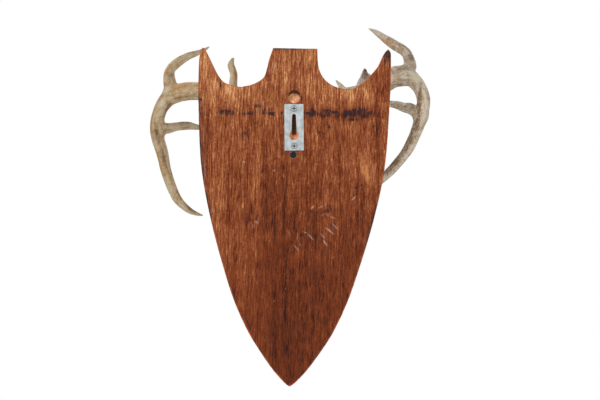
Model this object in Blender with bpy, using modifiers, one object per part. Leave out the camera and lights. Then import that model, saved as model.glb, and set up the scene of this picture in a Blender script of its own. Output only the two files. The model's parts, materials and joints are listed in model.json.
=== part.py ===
"""Deer skull mount: an antlered deer skull screwed to a shield-shaped board that hangs by a keyhole plate.

Units are metres. The origin is on the outer face of the keyhole plate, on the bridge between the
slot's upper end and the upper plate screw. +Z is up, +Y points into the wall that the mount hangs
on, and -Y points into the room. The tables of shape points are drawings in millimetres, and are
scaled to the sizes below.
"""

import math

import bmesh
import bpy
from mathutils import Matrix, Vector

MM = 0.001

# Pieces that touch keep this gap, and points closer than this are one point.
GAP = 0.3 * MM
WELD = 0.01 * MM

# Shield-shaped board.
BOARD_WIDTH = 244.6 * MM
BOARD_HEIGHT = 430.0 * MM
BOARD_THICKNESS = 19.0 * MM
BOARD_FRONT_ROUND = 2.5 * MM
BOARD_BACK_ROUND = 0.8 * MM
HANGER_DROP = 82.0 * MM

# Keyhole plate, surface mounted on the back of the board.
PLATE_WIDTH = 24.5 * MM
PLATE_THICKNESS = 1.5 * MM
PLATE_TURN = math.radians(1.3)
PLATE_SCREW_INSET = 5.6 * MM
PLATE_EDGE_ROUND = 0.25 * MM
SLOT_TOP_WIDTH = 4.8 * MM
SLOT_FOOT_WIDTH = 6.6 * MM
SLOT_LENGTH = 27.2 * MM
KEYHOLE_DIAMETER = 12.2 * MM
KEYHOLE_TO_SCREW = 3.7 * MM
BRIDGE = 1.5 * MM
POCKET_DEPTH = 8.0 * MM
POCKET_MARGIN = 0.4 * MM

# Countersunk screws: the upright edge of the head, the room over it in its hole, and the arms of the
# cross recess as shares of the head's diameter.
SCREW_LAND = 0.3 * MM
SCREW_HEAD_ROOM = 4.0 * MM
RECESS_WIDTH = 0.20
RECESS_REACH = 0.29
RECESS_DEPTH = 0.24

# Plate screws.
PLATE_SCREW_HEAD = 7.8 * MM
PLATE_SCREW_SHANK = 3.4 * MM
PLATE_SCREW_LENGTH = 15.0 * MM

# Black screw that goes through the board into the roof of the mouth.
SKULL_SCREW_HEAD = 8.8 * MM
SKULL_SCREW_SHANK = 3.9 * MM
SKULL_SCREW_LENGTH = 47.0 * MM
SKULL_SCREW_CLEARANCE = 1.0 * MM

# Old hanging hole, bored upwards into the back of the board.
NAIL_HOLE_DIAMETER = 16.0 * MM
NAIL_HOLE_DEPTH = 9.0 * MM
NAIL_HOLE_SLOPE = math.radians(22.0)
NAIL_HOLE_CLEARANCE = 1.0 * MM

# Skull and antlers.
SKULL_LENGTH = 275.0 * MM
SKULL_TURN = math.radians(2.0)
SKULL_SCREW_STATION = 0.543
ANTLER_REACH = 216.0 * MM

# Half outlines of the hand-sawn board as (distance from the axis, drop from the top), from the corner
# of the tab round the notch and the horn and down the side. The key 1 is the side towards +X.
HALF_OUTLINE = {
    1: [
        (27.8, 0.0), (33.0, 15.5), (35.2, 25.8), (39.6, 37.9), (51.5, 45.8), (71.2, 49.8),
        (87.6, 45.5), (95.6, 38.0), (102.2, 26.8), (113.3, 5.0), (116.6, 0.7), (119.6, 3.2),
        (121.6, 14.0), (122.2, 38.0), (122.0, 66.0), (119.0, 129.0), (114.5, 167.4), (106.9, 205.5),
        (97.3, 243.7), (85.9, 281.9), (73.1, 320.0), (55.6, 358.0), (39.8, 383.5), (21.6, 409.0),
        (7.8, 424.2), (3.2, 428.3),
    ],
    -1: [
        (28.4, 0.0), (29.4, 16.9), (32.0, 28.5), (38.6, 38.9), (49.0, 46.6), (63.1, 50.4),
        (73.0, 50.3), (82.5, 46.2), (95.4, 34.0), (106.4, 20.0), (113.0, 5.6), (118.4, -0.9),
        (121.8, 4.0), (122.4, 38.0), (121.7, 66.0), (118.6, 129.0), (114.0, 167.4), (106.3, 205.5),
        (96.6, 243.7), (85.2, 281.9), (72.6, 320.0), (55.8, 358.0), (40.4, 383.5), (22.0, 409.0),
        (8.2, 424.2), (3.4, 428.3),
    ],
}
BOARD_TIP = (0.0, 430.0)
BOARD_STEP = 11.5 * MM

# Skull sections as (distance from the nose, half width, crown, base, height of the widest point,
# squareness), with heights measured from the plane that the teeth stand on.
SKULL_SECTIONS = [
    (0, 7, 20, 13, 16, 2.0),
    (5, 13, 22, 12.5, 17, 2.2),
    (15, 18.5, 26, 12.5, 18, 2.4),
    (30, 19.5, 32, 13, 20, 2.3),
    (48, 18.5, 42, 13.5, 24, 2.2),
    (62, 19.5, 51.5, 14, 27, 2.2),
    (80, 24, 58, 14, 30, 2.3),
    (102, 30.5, 64.5, 14, 31, 2.4),
    (122, 35.5, 71.5, 14, 36, 2.4),
    (140, 39, 79, 14.5, 56, 2.4),
    (155, 43.5, 86.5, 16, 74, 2.5),
    (170, 47, 93, 22, 80, 2.5),
    (184, 47, 99, 26, 82, 2.5),
    (196, 41.5, 103.5, 25, 78, 2.3),
    (209, 36.5, 105, 23, 66, 2.2),
    (224, 36, 102, 21, 58, 2.2),
    (239, 35.5, 95, 20, 54, 2.2),
    (252, 34, 86, 20, 50, 2.3),
    (263, 31.5, 76, 21, 46, 2.4),
    (270, 27, 66, 23, 44, 2.4),
    (275, 20.5, 57, 27, 42, 2.2),
]
SECTION_SIDES = 20

# Round bars of the skull as lists of (distance from the nose, side, height, radius).
CHEEK_ARCH = [
    (118, 30, 33, 6.0), (136, 41, 36, 6.5), (152, 48, 40, 5.6), (170, 53, 43, 4.8),
    (188, 55, 45, 4.5), (206, 52.5, 45, 4.4), (220, 46, 44.5, 5.0), (232, 33, 46, 6.0),
]
NASAL_BONE = [
    (118, 7, 54, 5.0), (100, 7, 56.5, 7.5), (86, 6.5, 54, 7.0), (70, 6, 50, 5.4), (58, 5.5, 47.5, 3.6),
    (50, 5, 45.6, 1.6),
]
NASAL_CAVITY = [
    (-8, 0, 27, 6.5), (8, 0, 28.5, 9.5), (28, 0, 35, 12), (48, 0, 39, 12), (66, 0, 39, 10), (84, 0, 40, 5),
]
PEDICLE = [(186, 20, 80, 17.0), (199, 30, 101, 16.5), (208, 37.5, 115, 16.0), (216, 44, 128, 15.5)]
HOOD = [(186, 40, 84, 7.0), (191, 47, 71, 5.0), (191, 52, 57, 4.4), (188, 53, 46, 4.4)]
NECK_RIDGE = [(242, 31, 48, 4.0), (253, 27, 62, 4.4), (258.5, 14, 73, 4.4), (260, -3, 76.5, 4.4)]
NECK_SPUR = [(250, 27, 38, 8.0), (254, 29.5, 24, 5.6), (257, 29, 10, 4.0), (258, 27.5, 0.4, 2.6)]
PALATE_HOOK = [(176, 12, 34, 5.0), (181, 11.5, 20, 3.2), (186, 12, 10, 1.6)]
SPINAL_HOLE = [(292, 0, 36, 9.5), (268, 0, 38, 9.0), (248, 0, 44, 8.0)]

# Rim of the eye socket as (radius, thickness), and the way that it faces.
EYE_RIM = (19.5, 3.6)
RIM_FORWARD = math.radians(22.0)
RIM_UPWARD = math.radians(10.0)

# Round hollows and knobs of the skull as (distance from the nose, side, height, radius).
SOCKET = (168, 48, 64, 19.0)
NECK_JOINT = (267, 12.5, 27, 10.5)
EAR_BULB = (226, 21, 18, 9.5)
TEAR_PIT = (142, 45, 63, 9.0)
FACE_GAP = (126, 27.5, 66, 7.0)
PALATE_SLIT = (27, 8.2, 15, 6.0)

# Cheek teeth from front to back as (front, back, width), and the row's (side at its front, side at its
# back, height of the roots, gap between teeth, worn edge).
CHEEK_TEETH = [
    (82, 91, 8), (91, 101.5, 9), (101.5, 113, 10), (113, 127, 12.5), (127, 143, 13.5), (143, 159.5, 12.5),
]
TOOTH_ROW = (19.0, 27.0, 24.0, 0.7, 1.6)

# Antlers as lists of (outwards, away from the wall, towards the crown, radius), measured from the
# middle of the burr. The two sides grew unlike each other, so each has its own lists.
BEAM = {
    1: [
        (0, 0, 0, 16.0), (22, 27, 14, 15.8), (55, 54, 26, 14.3), (88, 77, 32, 12.8), (109, 91, 33, 13.0),
        (130, 103, 28, 12.0), (146, 113, 11, 9.8), (153, 121, -12, 9.7), (152, 126, -32, 9.3),
        (146.6, 130, -52, 8.6), (142, 134, -77.4, 7.5), (135, 137, -100.8, 6.9), (126, 141, -121, 6.2),
        (111.6, 144, -135.2, 4.7), (100, 146, -141.4, 2.9), (91.5, 148, -144, 1.2),
    ],
    -1: [
        (0, 0, 0, 16.0), (24, 23, 11, 16.0), (59, 51, 23.5, 14.6), (95, 77, 45, 14.8), (109, 87, 48, 14.2),
        (125, 99, 45, 12.6), (138, 109, 33, 9.8), (144, 117, 16, 9.8), (142, 122, 0, 9.7),
        (138, 126, -16, 9.0), (130, 131, -36, 8.0), (119.6, 135, -56.5, 7.6), (106.6, 138, -72.6, 7.2),
        (92.6, 141, -87.5, 6.7), (76, 144, -101, 5.8), (61, 146, -110, 4.4), (50, 148, -115, 2.6),
        (42, 149, -117, 1.1),
    ],
}
TINES = {
    1: [
        [
            (34, 38, 18, 10.0), (39, 53, 28, 7.4), (40, 66, 38, 6.0), (39.5, 87, 56, 5.3),
            (43.5, 101, 70, 4.9), (42, 108, 78, 2.8), (40, 113, 81, 1.0),
        ],
        [
            (126, 101, 30, 13.0), (131, 113, 47, 8.6), (132.3, 133, 65.5, 7.0), (124.6, 155, 78.6, 6.9),
            (111, 177, 90.6, 5.6), (97, 196, 97.6, 4.0), (87, 209, 103.6, 2.5), (81, 216, 108, 1.0),
        ],
        [
            (151, 121, -17, 11.0), (139, 134, -17, 7.8), (128, 151, -14, 6.4), (113, 173, -11.6, 6.0),
            (101, 191, -13, 4.3), (90, 207, -15, 2.4), (85, 216, -17, 1.0),
        ],
    ],
    -1: [
        [(58, 48, 22, 12.5), (54, 66, 37, 7.4), (57, 83, 49, 4.8), (59, 94, 57, 3.4), (59, 100, 60, 2.0)],
        [(56, 61, 32, 6.5), (62, 77, 44, 3.2), (65, 87, 51, 1.4)],
        [(38, 33, 14, 9.0), (27, 47, 28, 4.8), (22, 55, 36, 2.9), (17, 63, 43, 0.9)],
        [
            (123, 99, 42, 13.5), (124, 112, 62, 8.8), (123.2, 127, 76.8, 7.2), (119, 143, 88.8, 7.1),
            (106, 163, 100.8, 7.1), (91.2, 187, 114.6, 5.8), (80.4, 203, 124.8, 3.4), (71.8, 215, 131, 1.0),
        ],
        [
            (138, 122, -3, 11.5), (127, 135, 4.8, 8.2), (118, 149, 8, 6.8), (109, 163, 12.4, 5.8),
            (100, 175, 15, 5.0), (91, 188, 18, 3.7), (82, 201, 21, 1.9), (77, 207, 22, 0.9),
        ],
    ],
}
BURR = [(-13, 15.0), (-9, 21.5), (-4, 24.5), (1, 21.5), (7, 15.5)]
BEAM_STEP = 19.0 * MM
TINE_STEP = 15.0 * MM

# Places that follow from the sizes above.
BOARD_BACK_Y = -(PLATE_THICKNESS + GAP)
BOARD_FRONT_Y = BOARD_BACK_Y - BOARD_THICKNESS
BOARD_TOP_Z = HANGER_DROP
SLOT_TOP_Z = -BRIDGE
KEYHOLE_Z = SLOT_TOP_Z - SLOT_LENGTH
UPPER_SCREW_Z = BRIDGE + PLATE_SCREW_HEAD / 2
LOWER_SCREW_Z = KEYHOLE_Z - KEYHOLE_DIAMETER / 2 - KEYHOLE_TO_SCREW - PLATE_SCREW_HEAD / 2
PLATE_TOP_Z = UPPER_SCREW_Z + PLATE_SCREW_INSET
PLATE_FOOT_Z = LOWER_SCREW_Z - PLATE_SCREW_INSET
SKULL_SCREW_Z = PLATE_FOOT_Z - SKULL_SCREW_CLEARANCE - SKULL_SCREW_HEAD / 2
NAIL_HOLE_Z = PLATE_TOP_Z + NAIL_HOLE_CLEARANCE + NAIL_HOLE_DIAMETER / 2 / math.cos(NAIL_HOLE_SLOPE)
PLATE_SCREW = (PLATE_SCREW_HEAD, PLATE_SCREW_SHANK, PLATE_SCREW_LENGTH)
SKULL_SCREW = (SKULL_SCREW_HEAD, SKULL_SCREW_SHANK, SKULL_SCREW_LENGTH)

# Scales of the drawings: the skull's by its length, the antlers' by how far they reach off the burrs.
SKULL_SCALE = SKULL_LENGTH / SKULL_SECTIONS[-1][0]
ANTLER_SCALE = ANTLER_REACH / max(point[1] for tine in TINES[1] for point in tine)


def clear_scene():
    """Removes what the scene holds and makes the collections for the object and its cutters."""
    for obj in list(bpy.data.objects):
        bpy.data.objects.remove(obj)
    made = []
    for name in ("deer_skull_mount", "cutters"):
        collection = bpy.data.collections.new(name)
        bpy.context.scene.collection.children.link(collection)
        made.append(collection)
    made[1].hide_render = True
    return made


def material(name, colour, roughness, metallic=0.0):
    made = bpy.data.materials.new(name)
    made.use_nodes = True
    shader = made.node_tree.nodes["Principled BSDF"]
    shader.inputs["Base Color"].default_value = (*colour, 1.0)
    shader.inputs["Roughness"].default_value = roughness
    shader.inputs["Metallic"].default_value = metallic
    made.diffuse_color = (*colour, 1.0)
    return made


def smooth_path(points, step):
    """Points about one step apart on the smooth curve through the given ones (Catmull-Rom)."""
    points = [Vector(p) for p in points]
    ends = [2 * points[0] - points[1], *points, 2 * points[-1] - points[-2]]
    path = [points[0]]
    for a, b, c, d in zip(ends, ends[1:], ends[2:], ends[3:]):
        pieces = max(1, round((c - b).length / step))
        for i in range(1, pieces + 1):
            t = i / pieces
            bend = 2 * a - 5 * b + 4 * c - d
            twist = 3 * b - a - 3 * c + d
            path.append(0.5 * (2 * b + (c - a) * t + bend * t**2 + twist * t**3))
    return path


def link_mesh(name, shape, collection):
    """Makes an object from a bmesh, with its faces pointing out."""
    bmesh.ops.recalc_face_normals(shape, faces=shape.faces)
    mesh = bpy.data.meshes.new(name)
    shape.to_mesh(mesh)
    shape.free()
    obj = bpy.data.objects.new(name, mesh)
    collection.objects.link(obj)
    return obj


def mesh_of_line(line):
    """The closed surface of a curve object, where it stands, as a bmesh. The curve is removed."""
    bpy.context.view_layer.update()
    evaluated = line.evaluated_get(bpy.context.evaluated_depsgraph_get())
    mesh = bpy.data.meshes.new_from_object(evaluated)
    shape = bmesh.new()
    shape.from_mesh(mesh)
    bmesh.ops.transform(shape, matrix=line.matrix_world, verts=shape.verts)
    bmesh.ops.remove_doubles(shape, verts=shape.verts, dist=WELD)
    bpy.data.objects.remove(line)
    bpy.data.meshes.remove(mesh)
    return shape


def tube(name, points, collection, bevel_resolution=2):
    """A round bar through (x, y, z, radius) points with closed ends, as a mesh."""
    curve = bpy.data.curves.new(name + "_line", "CURVE")
    curve.dimensions = "3D"
    curve.bevel_depth = 1.0
    curve.bevel_resolution = bevel_resolution
    curve.use_fill_caps = True
    spline = curve.splines.new("POLY")
    spline.points.add(len(points) - 1)
    for target, (x, y, z, radius) in zip(spline.points, points):
        target.co = (x, y, z, 1.0)
        target.radius = radius
    line = bpy.data.objects.new(name + "_line", curve)
    collection.objects.link(line)
    return link_mesh(name, mesh_of_line(line), collection)


def ball(name, centre, radius, collection, stretch=(1, 1, 1)):
    shape = bmesh.new()
    bmesh.ops.create_uvsphere(shape, u_segments=10, v_segments=8, radius=radius)
    bmesh.ops.scale(shape, vec=stretch, verts=shape.verts)
    bmesh.ops.translate(shape, vec=centre, verts=shape.verts)
    return link_mesh(name, shape, collection)


def block(name, low, high, collection):
    """A box between two corners."""
    shape = bmesh.new()
    bmesh.ops.create_cube(shape, size=1.0)
    low, high = Vector(low), Vector(high)
    bmesh.ops.scale(shape, vec=high - low, verts=shape.verts)
    bmesh.ops.translate(shape, vec=(low + high) / 2, verts=shape.verts)
    return link_mesh(name, shape, collection)


def turned(name, profile, collection, steps=14):
    """A shape turned from (radius, height) points down its outer side, with its axis laid along +Y."""
    shape = bmesh.new()
    line = [shape.verts.new((radius, 0, height)) for radius, height in profile]
    for a, b in zip(line, line[1:]):
        shape.edges.new((a, b))
    mesh = bpy.data.meshes.new(name)
    shape.to_mesh(mesh)
    shape.free()
    obj = bpy.data.objects.new(name, mesh)
    collection.objects.link(obj)
    screw = obj.modifiers.new("turn", "SCREW")
    screw.steps = steps
    screw.render_steps = steps
    screw.use_merge_vertices = True
    screw.merge_threshold = WELD
    obj.rotation_euler = (-math.pi / 2, 0, 0)
    return obj


def cut(obj, *cutters, operation="DIFFERENCE", solver="EXACT"):
    for cutter in cutters:
        boolean = obj.modifiers.new(cutter.name, "BOOLEAN")
        boolean.operation = operation
        boolean.solver = solver
        boolean.object = cutter
        cutter.hide_render = True
        cutter.display_type = "WIRE"


def settled(obj):
    """Applies the object's modifiers, so that its mesh is the finished shape."""
    bpy.context.view_layer.update()
    evaluated = obj.evaluated_get(bpy.context.evaluated_depsgraph_get())
    mesh = bpy.data.meshes.new_from_object(evaluated)
    obj.modifiers.clear()
    obj.data = mesh
    return obj


def finish(obj, collection, look, sharp=math.radians(35.0)):
    for old in list(obj.users_collection):
        old.objects.unlink(obj)
    collection.objects.link(obj)
    obj.data.materials.clear()
    obj.data.materials.append(look)
    obj.data.shade_smooth()
    obj.data.set_sharp_from_angle(angle=sharp)


def board_outline():
    """The board's outline as (x, z) points, from one corner of the tab round to the other."""
    wide = BOARD_WIDTH / sum(max(x for x, drop in points) for points in HALF_OUTLINE.values())
    tall = BOARD_HEIGHT / BOARD_TIP[1]
    sides = {}
    for side, points in HALF_OUTLINE.items():
        sides[side] = [(side * x * wide, BOARD_TOP_Z - drop * tall, 0) for x, drop in points]
    tip = (BOARD_TIP[0] * wide, BOARD_TOP_Z - BOARD_TIP[1] * tall, 0)
    return [(p.x, p.y) for p in smooth_path([*sides[1], tip, *reversed(sides[-1])], BOARD_STEP)]


def flat_piece(name, outline, back_y, front_y, collection, turn=0.0):
    """A flat piece of the given (x, z) outline that fills the space from back_y to front_y."""
    curve = bpy.data.curves.new(name + "_line", "CURVE")
    curve.dimensions = "2D"
    curve.fill_mode = "BOTH"
    curve.extrude = abs(back_y - front_y) / 2
    spline = curve.splines.new("POLY")
    spline.points.add(len(outline) - 1)
    for target, (x, z) in zip(spline.points, outline):
        target.co = (x, z, 0.0, 1.0)
    spline.use_cyclic_u = True
    line = bpy.data.objects.new(name + "_line", curve)
    collection.objects.link(line)
    line.rotation_euler = (math.pi / 2, turn, 0)
    line.location = (0, (back_y + front_y) / 2, 0)
    shape = mesh_of_line(line)
    flat = math.radians(0.5)
    bmesh.ops.dissolve_limit(shape, angle_limit=flat, verts=shape.verts, edges=shape.edges)
    return link_mesh(name, shape, collection)


def round_rim(obj, plane_y, width, segments):
    """Rounds the edges of a flat piece that lie in the plane y = plane_y."""
    shape = bmesh.new()
    shape.from_mesh(obj.data)
    rim = [e for e in shape.edges if all(abs(v.co.y - plane_y) < 0.001 * MM for v in e.verts)]
    bmesh.ops.bevel(
        shape, geom=rim, offset=width, segments=segments, profile=0.5, affect="EDGES", clamp_overlap=False
    )
    shape.to_mesh(obj.data)
    shape.free()


def screw_profile(size, grow=0.0, above=0.0):
    """Half outline of a countersunk wood screw, from the middle of its head to its point."""
    head, shank, length = size
    head_radius, shank_radius = head / 2 + grow, shank / 2 + grow
    return [
        (0, above),
        (head_radius, above),
        (head_radius, -SCREW_LAND),
        (shank_radius, -SCREW_LAND - (head - shank) / 2),
        (shank_radius, -length + shank - grow),
        (0, -length - grow),
    ]


def wood_screw(name, place, size, collection, cutters, look):
    """A countersunk screw with a cross recess, its head towards the wall."""
    screw = turned(name, screw_profile(size), cutters)
    screw.location = place
    head = size[0]
    half, reach, depth = RECESS_WIDTH * head / 4, RECESS_REACH * head, RECESS_DEPTH * head
    for arm, (x, z) in {"level_arm": (reach, half), "upright_arm": (half, reach)}.items():
        slot = block(f"{name}_{arm}", (-x, -depth, -z), (x, depth, z), cutters)
        slot.location = place
        cut(screw, slot)
    settled(screw)
    finish(screw, collection, look)
    return screw


def screw_hole(name, place, size, cutters):
    """Cutter for the countersunk hole that a screw sits in, with the gap all round."""
    hole = turned(name, screw_profile(size, grow=GAP, above=SCREW_HEAD_ROOM), cutters)
    hole.location = place
    return hole


def on_plate(x, y, z):
    """A point given on the plate as drawn upright, in its place on the slightly turned plate."""
    return Matrix.Rotation(PLATE_TURN, 3, "Y") @ Vector((x, y, z))


def keyhole_plate(collection, cutters, look):
    """The steel plate with its tapered slot, round entry and two countersunk holes."""
    plate = block(
        "keyhole_plate",
        (-PLATE_WIDTH / 2, -PLATE_THICKNESS, PLATE_FOOT_Z),
        (PLATE_WIDTH / 2, 0, PLATE_TOP_Z),
        cutters,
    )
    corners = plate.modifiers.new("rounded_edges", "BEVEL")
    corners.width = PLATE_EDGE_ROUND
    corners.segments = 1
    radius = KEYHOLE_DIAMETER / 2
    outline = [(radius * math.sin(a), KEYHOLE_Z - radius * math.cos(a)) for a in arc_angles()]
    top_radius = SLOT_TOP_WIDTH / 2
    top_z = SLOT_TOP_Z - top_radius
    outline += [(top_radius * math.cos(a), top_z + top_radius * math.sin(a)) for a in half_turn()]
    cut(plate, flat_piece("keyhole", outline, PLATE_THICKNESS, -2 * PLATE_THICKNESS, cutters))
    for name, z in (("upper_hole", UPPER_SCREW_Z), ("lower_hole", LOWER_SCREW_Z)):
        cut(plate, screw_hole(name, (0, -GAP / 2, z), PLATE_SCREW, cutters))
    settled(plate)
    plate.rotation_euler = (0, PLATE_TURN, 0)
    finish(plate, collection, look)
    return plate


def arc_angles(count=22):
    """Angles round the keyhole's entry, from one foot of the slot down and round to the other."""
    foot = math.asin(SLOT_FOOT_WIDTH / KEYHOLE_DIAMETER)
    start, end = -(math.pi - foot), math.pi - foot
    return [start + (end - start) * i / count for i in range(count + 1)]


def half_turn(count=8):
    return [math.pi * i / count for i in range(count + 1)]


def board(collection, cutters, look):
    """The sawn shield with the pocket behind the keyhole, the old nail hole and the screw holes."""
    slab = flat_piece("shield_board", board_outline(), BOARD_BACK_Y, BOARD_FRONT_Y, cutters)
    round_rim(slab, BOARD_FRONT_Y, BOARD_FRONT_ROUND, 2)
    round_rim(slab, BOARD_BACK_Y, BOARD_BACK_ROUND, 1)
    radius = KEYHOLE_DIAMETER / 2 + POCKET_MARGIN
    pocket_top = SLOT_TOP_Z - radius
    outline = [(radius * math.cos(a), pocket_top + radius * math.sin(a)) for a in half_turn()]
    outline += [(-radius * math.cos(a), KEYHOLE_Z - radius * math.sin(a)) for a in half_turn()]
    pocket = flat_piece("pocket", outline, POCKET_DEPTH, BOARD_BACK_Y - POCKET_DEPTH, cutters, PLATE_TURN)

    nail_hole = turned(
        "nail_hole",
        [
            (0, NAIL_HOLE_DEPTH),
            (NAIL_HOLE_DIAMETER / 2, NAIL_HOLE_DEPTH),
            (NAIL_HOLE_DIAMETER / 2, -NAIL_HOLE_DEPTH),
            (0, -NAIL_HOLE_DEPTH),
        ],
        cutters,
        steps=24,
    )
    nail_hole.location = (0, BOARD_BACK_Y, NAIL_HOLE_Z)
    nail_hole.rotation_euler = (-math.pi / 2 - NAIL_HOLE_SLOPE, 0, 0)

    holes = [pocket, nail_hole]
    for name, z in (("upper_pilot", UPPER_SCREW_Z), ("lower_pilot", LOWER_SCREW_Z)):
        holes.append(screw_hole(name, on_plate(0, -GAP / 2, z), PLATE_SCREW, cutters))
    holes.append(screw_hole("through_hole", (0, BOARD_BACK_Y, SKULL_SCREW_Z), SKULL_SCREW, cutters))
    cut(slab, *holes)
    settled(slab)
    finish(slab, collection, look)
    return slab


def skull_point(station, side, height):
    """A point of the skull drawing in the skull's own frame, whose origin is the foot of its screw."""
    from_screw = station - SKULL_SCREW_STATION * SKULL_SECTIONS[-1][0]
    return Vector((side, -height, from_screw)) * SKULL_SCALE


def skull_bar(name, points, side, cutters, step=11.0 * MM, bevel_resolution=2):
    """A tube of the skull drawing, mirrored to the given side."""
    path = []
    for station, across, height, radius in points:
        place = skull_point(station, side * across, height)
        path.append((*place, radius * SKULL_SCALE))
    return tube(name, smooth_path(path, step), cutters, bevel_resolution)


def braincase_and_face(cutters):
    """The closed skin of the skull from the nose to the back of the head, lofted through its sections."""
    shape = bmesh.new()
    rings = []
    for station, half_width, crown, base, widest, squareness in SKULL_SECTIONS:
        ring = []
        for i in range(SECTION_SIDES):
            angle = 2 * math.pi * i / SECTION_SIDES
            across = half_width * math.copysign(abs(math.cos(angle)) ** (2 / squareness), math.cos(angle))
            reach = crown - widest if math.sin(angle) > 0 else widest - base
            height = widest + reach * math.copysign(abs(math.sin(angle)) ** (2 / squareness), math.sin(angle))
            ring.append(shape.verts.new(skull_point(station, across, height)))
        rings.append(ring)
    for a, b in zip(rings, rings[1:]):
        for i in range(SECTION_SIDES):
            j = (i + 1) % SECTION_SIDES
            shape.faces.new((a[i], a[j], b[j], b[i]))
    shape.faces.new(rings[0])
    shape.faces.new(rings[-1])
    return link_mesh("skull_and_antlers", shape, cutters)


def eye_rim(name, side, cutters):
    """The raised ring round an eye socket, turned to face outwards, a little forwards and upwards."""
    radius, thickness = EYE_RIM
    bpy.ops.mesh.primitive_torus_add(
        major_segments=16,
        minor_segments=6,
        major_radius=radius * SKULL_SCALE,
        minor_radius=thickness * SKULL_SCALE,
    )
    rim = bpy.context.object
    rim.name = name
    facing = Vector((side, -math.tan(RIM_UPWARD), -math.tan(RIM_FORWARD)))
    station, across, height = SOCKET[:3]
    rim.location = skull_point(station, side * across, height)
    rim.rotation_euler = facing.to_track_quat("Z", "Y").to_euler()
    for old in list(rim.users_collection):
        old.objects.unlink(rim)
    cutters.objects.link(rim)
    return rim


def cheek_teeth(side, cutters):
    """One row of cheek teeth, each a rounded block set into the jaw."""
    row = []
    inner, outer, roots, gap, rounding = TOOTH_ROW
    row_start, row_end = CHEEK_TEETH[0][0], CHEEK_TEETH[-1][1]
    for number, (front, back, width) in enumerate(CHEEK_TEETH):
        share = ((front + back) / 2 - row_start) / (row_end - row_start)
        middle = side * (inner + (outer - inner) * math.sin(share * math.pi / 2))
        low = skull_point(front + gap / 2, middle - width / 2, roots)
        high = skull_point(back - gap / 2, middle + width / 2, 0)
        tooth = block(f"tooth_{side}_{number}", low, high, cutters)
        edges = tooth.modifiers.new("worn_edges", "BEVEL")
        edges.width = rounding * SKULL_SCALE
        edges.segments = 1
        row.append(settled(tooth))
    return row


def antler(side, cutters):
    """The burr, main beam and tines of one antler, as overlapping tubes."""
    burr = skull_point(PEDICLE[-1][0], side * PEDICLE[-1][1], PEDICLE[-1][2])

    def placed(points):
        for outward, off_wall, crownward, radius in points:
            offset = Vector((side * outward, -off_wall, crownward)) * ANTLER_SCALE
            yield (*(burr + offset), radius * ANTLER_SCALE)

    name = "left" if side > 0 else "right"
    beam = tube(f"beam_{name}", smooth_path(list(placed(BEAM[side])), BEAM_STEP), cutters, 3)
    made = [beam]
    axis = Vector((side * BEAM[side][1][0], -BEAM[side][1][1], BEAM[side][1][2])).normalized()
    collar = []
    for along, radius in BURR:
        collar.append((*(burr + axis * along * ANTLER_SCALE), radius * ANTLER_SCALE))
    made.append(tube(f"burr_{name}", collar, cutters, 5))
    for number, points in enumerate(TINES[side]):
        path = smooth_path(list(placed(points)), TINE_STEP)
        made.append(tube(f"tine_{name}_{number}", path, cutters, 2))
    return made


def skull_and_antlers(collection, cutters, look):
    """The whole antlered skull, one piece of bone, in its place on the board."""
    skull = braincase_and_face(cutters)
    nose = [skull_bar(f"nasal_bone_{side}", NASAL_BONE, side, cutters) for side in (1, -1)]
    cut(skull, *nose, operation="UNION", solver="MANIFOLD")
    settled(skull)

    hollows = [skull_bar("nasal_cavity", NASAL_CAVITY, 1, cutters, bevel_resolution=3)]
    hollows.append(skull_bar("spinal_hole", SPINAL_HOLE, 1, cutters))
    for side, name in ((1, "left"), (-1, "right")):
        for label, (station, across, height, radius), stretch in (
            ("socket", SOCKET, (1, 1, 1)),
            ("tear_pit", TEAR_PIT, (0.75, 0.8, 1.0)),
            ("face_gap", FACE_GAP, (0.7, 0.5, 1.3)),
            ("palate_slit", PALATE_SLIT, (0.6, 1.6, 2.4)),
        ):
            hollow = ball(f"{label}_{name}", (0, 0, 0), radius * SKULL_SCALE, cutters, stretch)
            hollow.location = skull_point(station, side * across, height)
            hollows.append(hollow)
    cut(skull, *hollows, solver="MANIFOLD")
    settled(skull)

    added = []
    for side, name in ((1, "left"), (-1, "right")):
        for label, points, roundness in (
            ("cheek_arch", CHEEK_ARCH, 2),
            ("hood", HOOD, 1),
            ("pedicle", PEDICLE, 3),
            ("neck_ridge", NECK_RIDGE, 1),
            ("neck_spur", NECK_SPUR, 1),
            ("palate_hook", PALATE_HOOK, 1),
        ):
            bar = skull_bar(f"{label}_{name}", points, side, cutters, bevel_resolution=roundness)
            added.append(bar)
        for label, knob in (("neck_joint", NECK_JOINT), ("ear_bulb", EAR_BULB)):
            station, across, height, radius = knob
            place = skull_point(station, side * across, height)
            added.append(ball(f"{label}_{name}", place, radius * SKULL_SCALE, cutters))
        added.append(eye_rim(f"eye_rim_{name}", side, cutters))
        added += cheek_teeth(side, cutters)
        added += antler(side, cutters)
    cut(skull, *added, operation="UNION", solver="MANIFOLD")

    screw_way = turned(
        "palate_hole",
        screw_profile(SKULL_SCREW, grow=GAP, above=GAP),
        cutters,
        steps=12,
    )
    screw_way.location = (0, BOARD_THICKNESS + GAP, 0)
    cut(skull, screw_way, solver="MANIFOLD")
    settled(skull)
    skull.location = (0, BOARD_FRONT_Y - GAP, SKULL_SCREW_Z)
    skull.rotation_euler = (0, SKULL_TURN, 0)
    finish(skull, collection, look, sharp=math.radians(50.0))
    return skull


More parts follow.
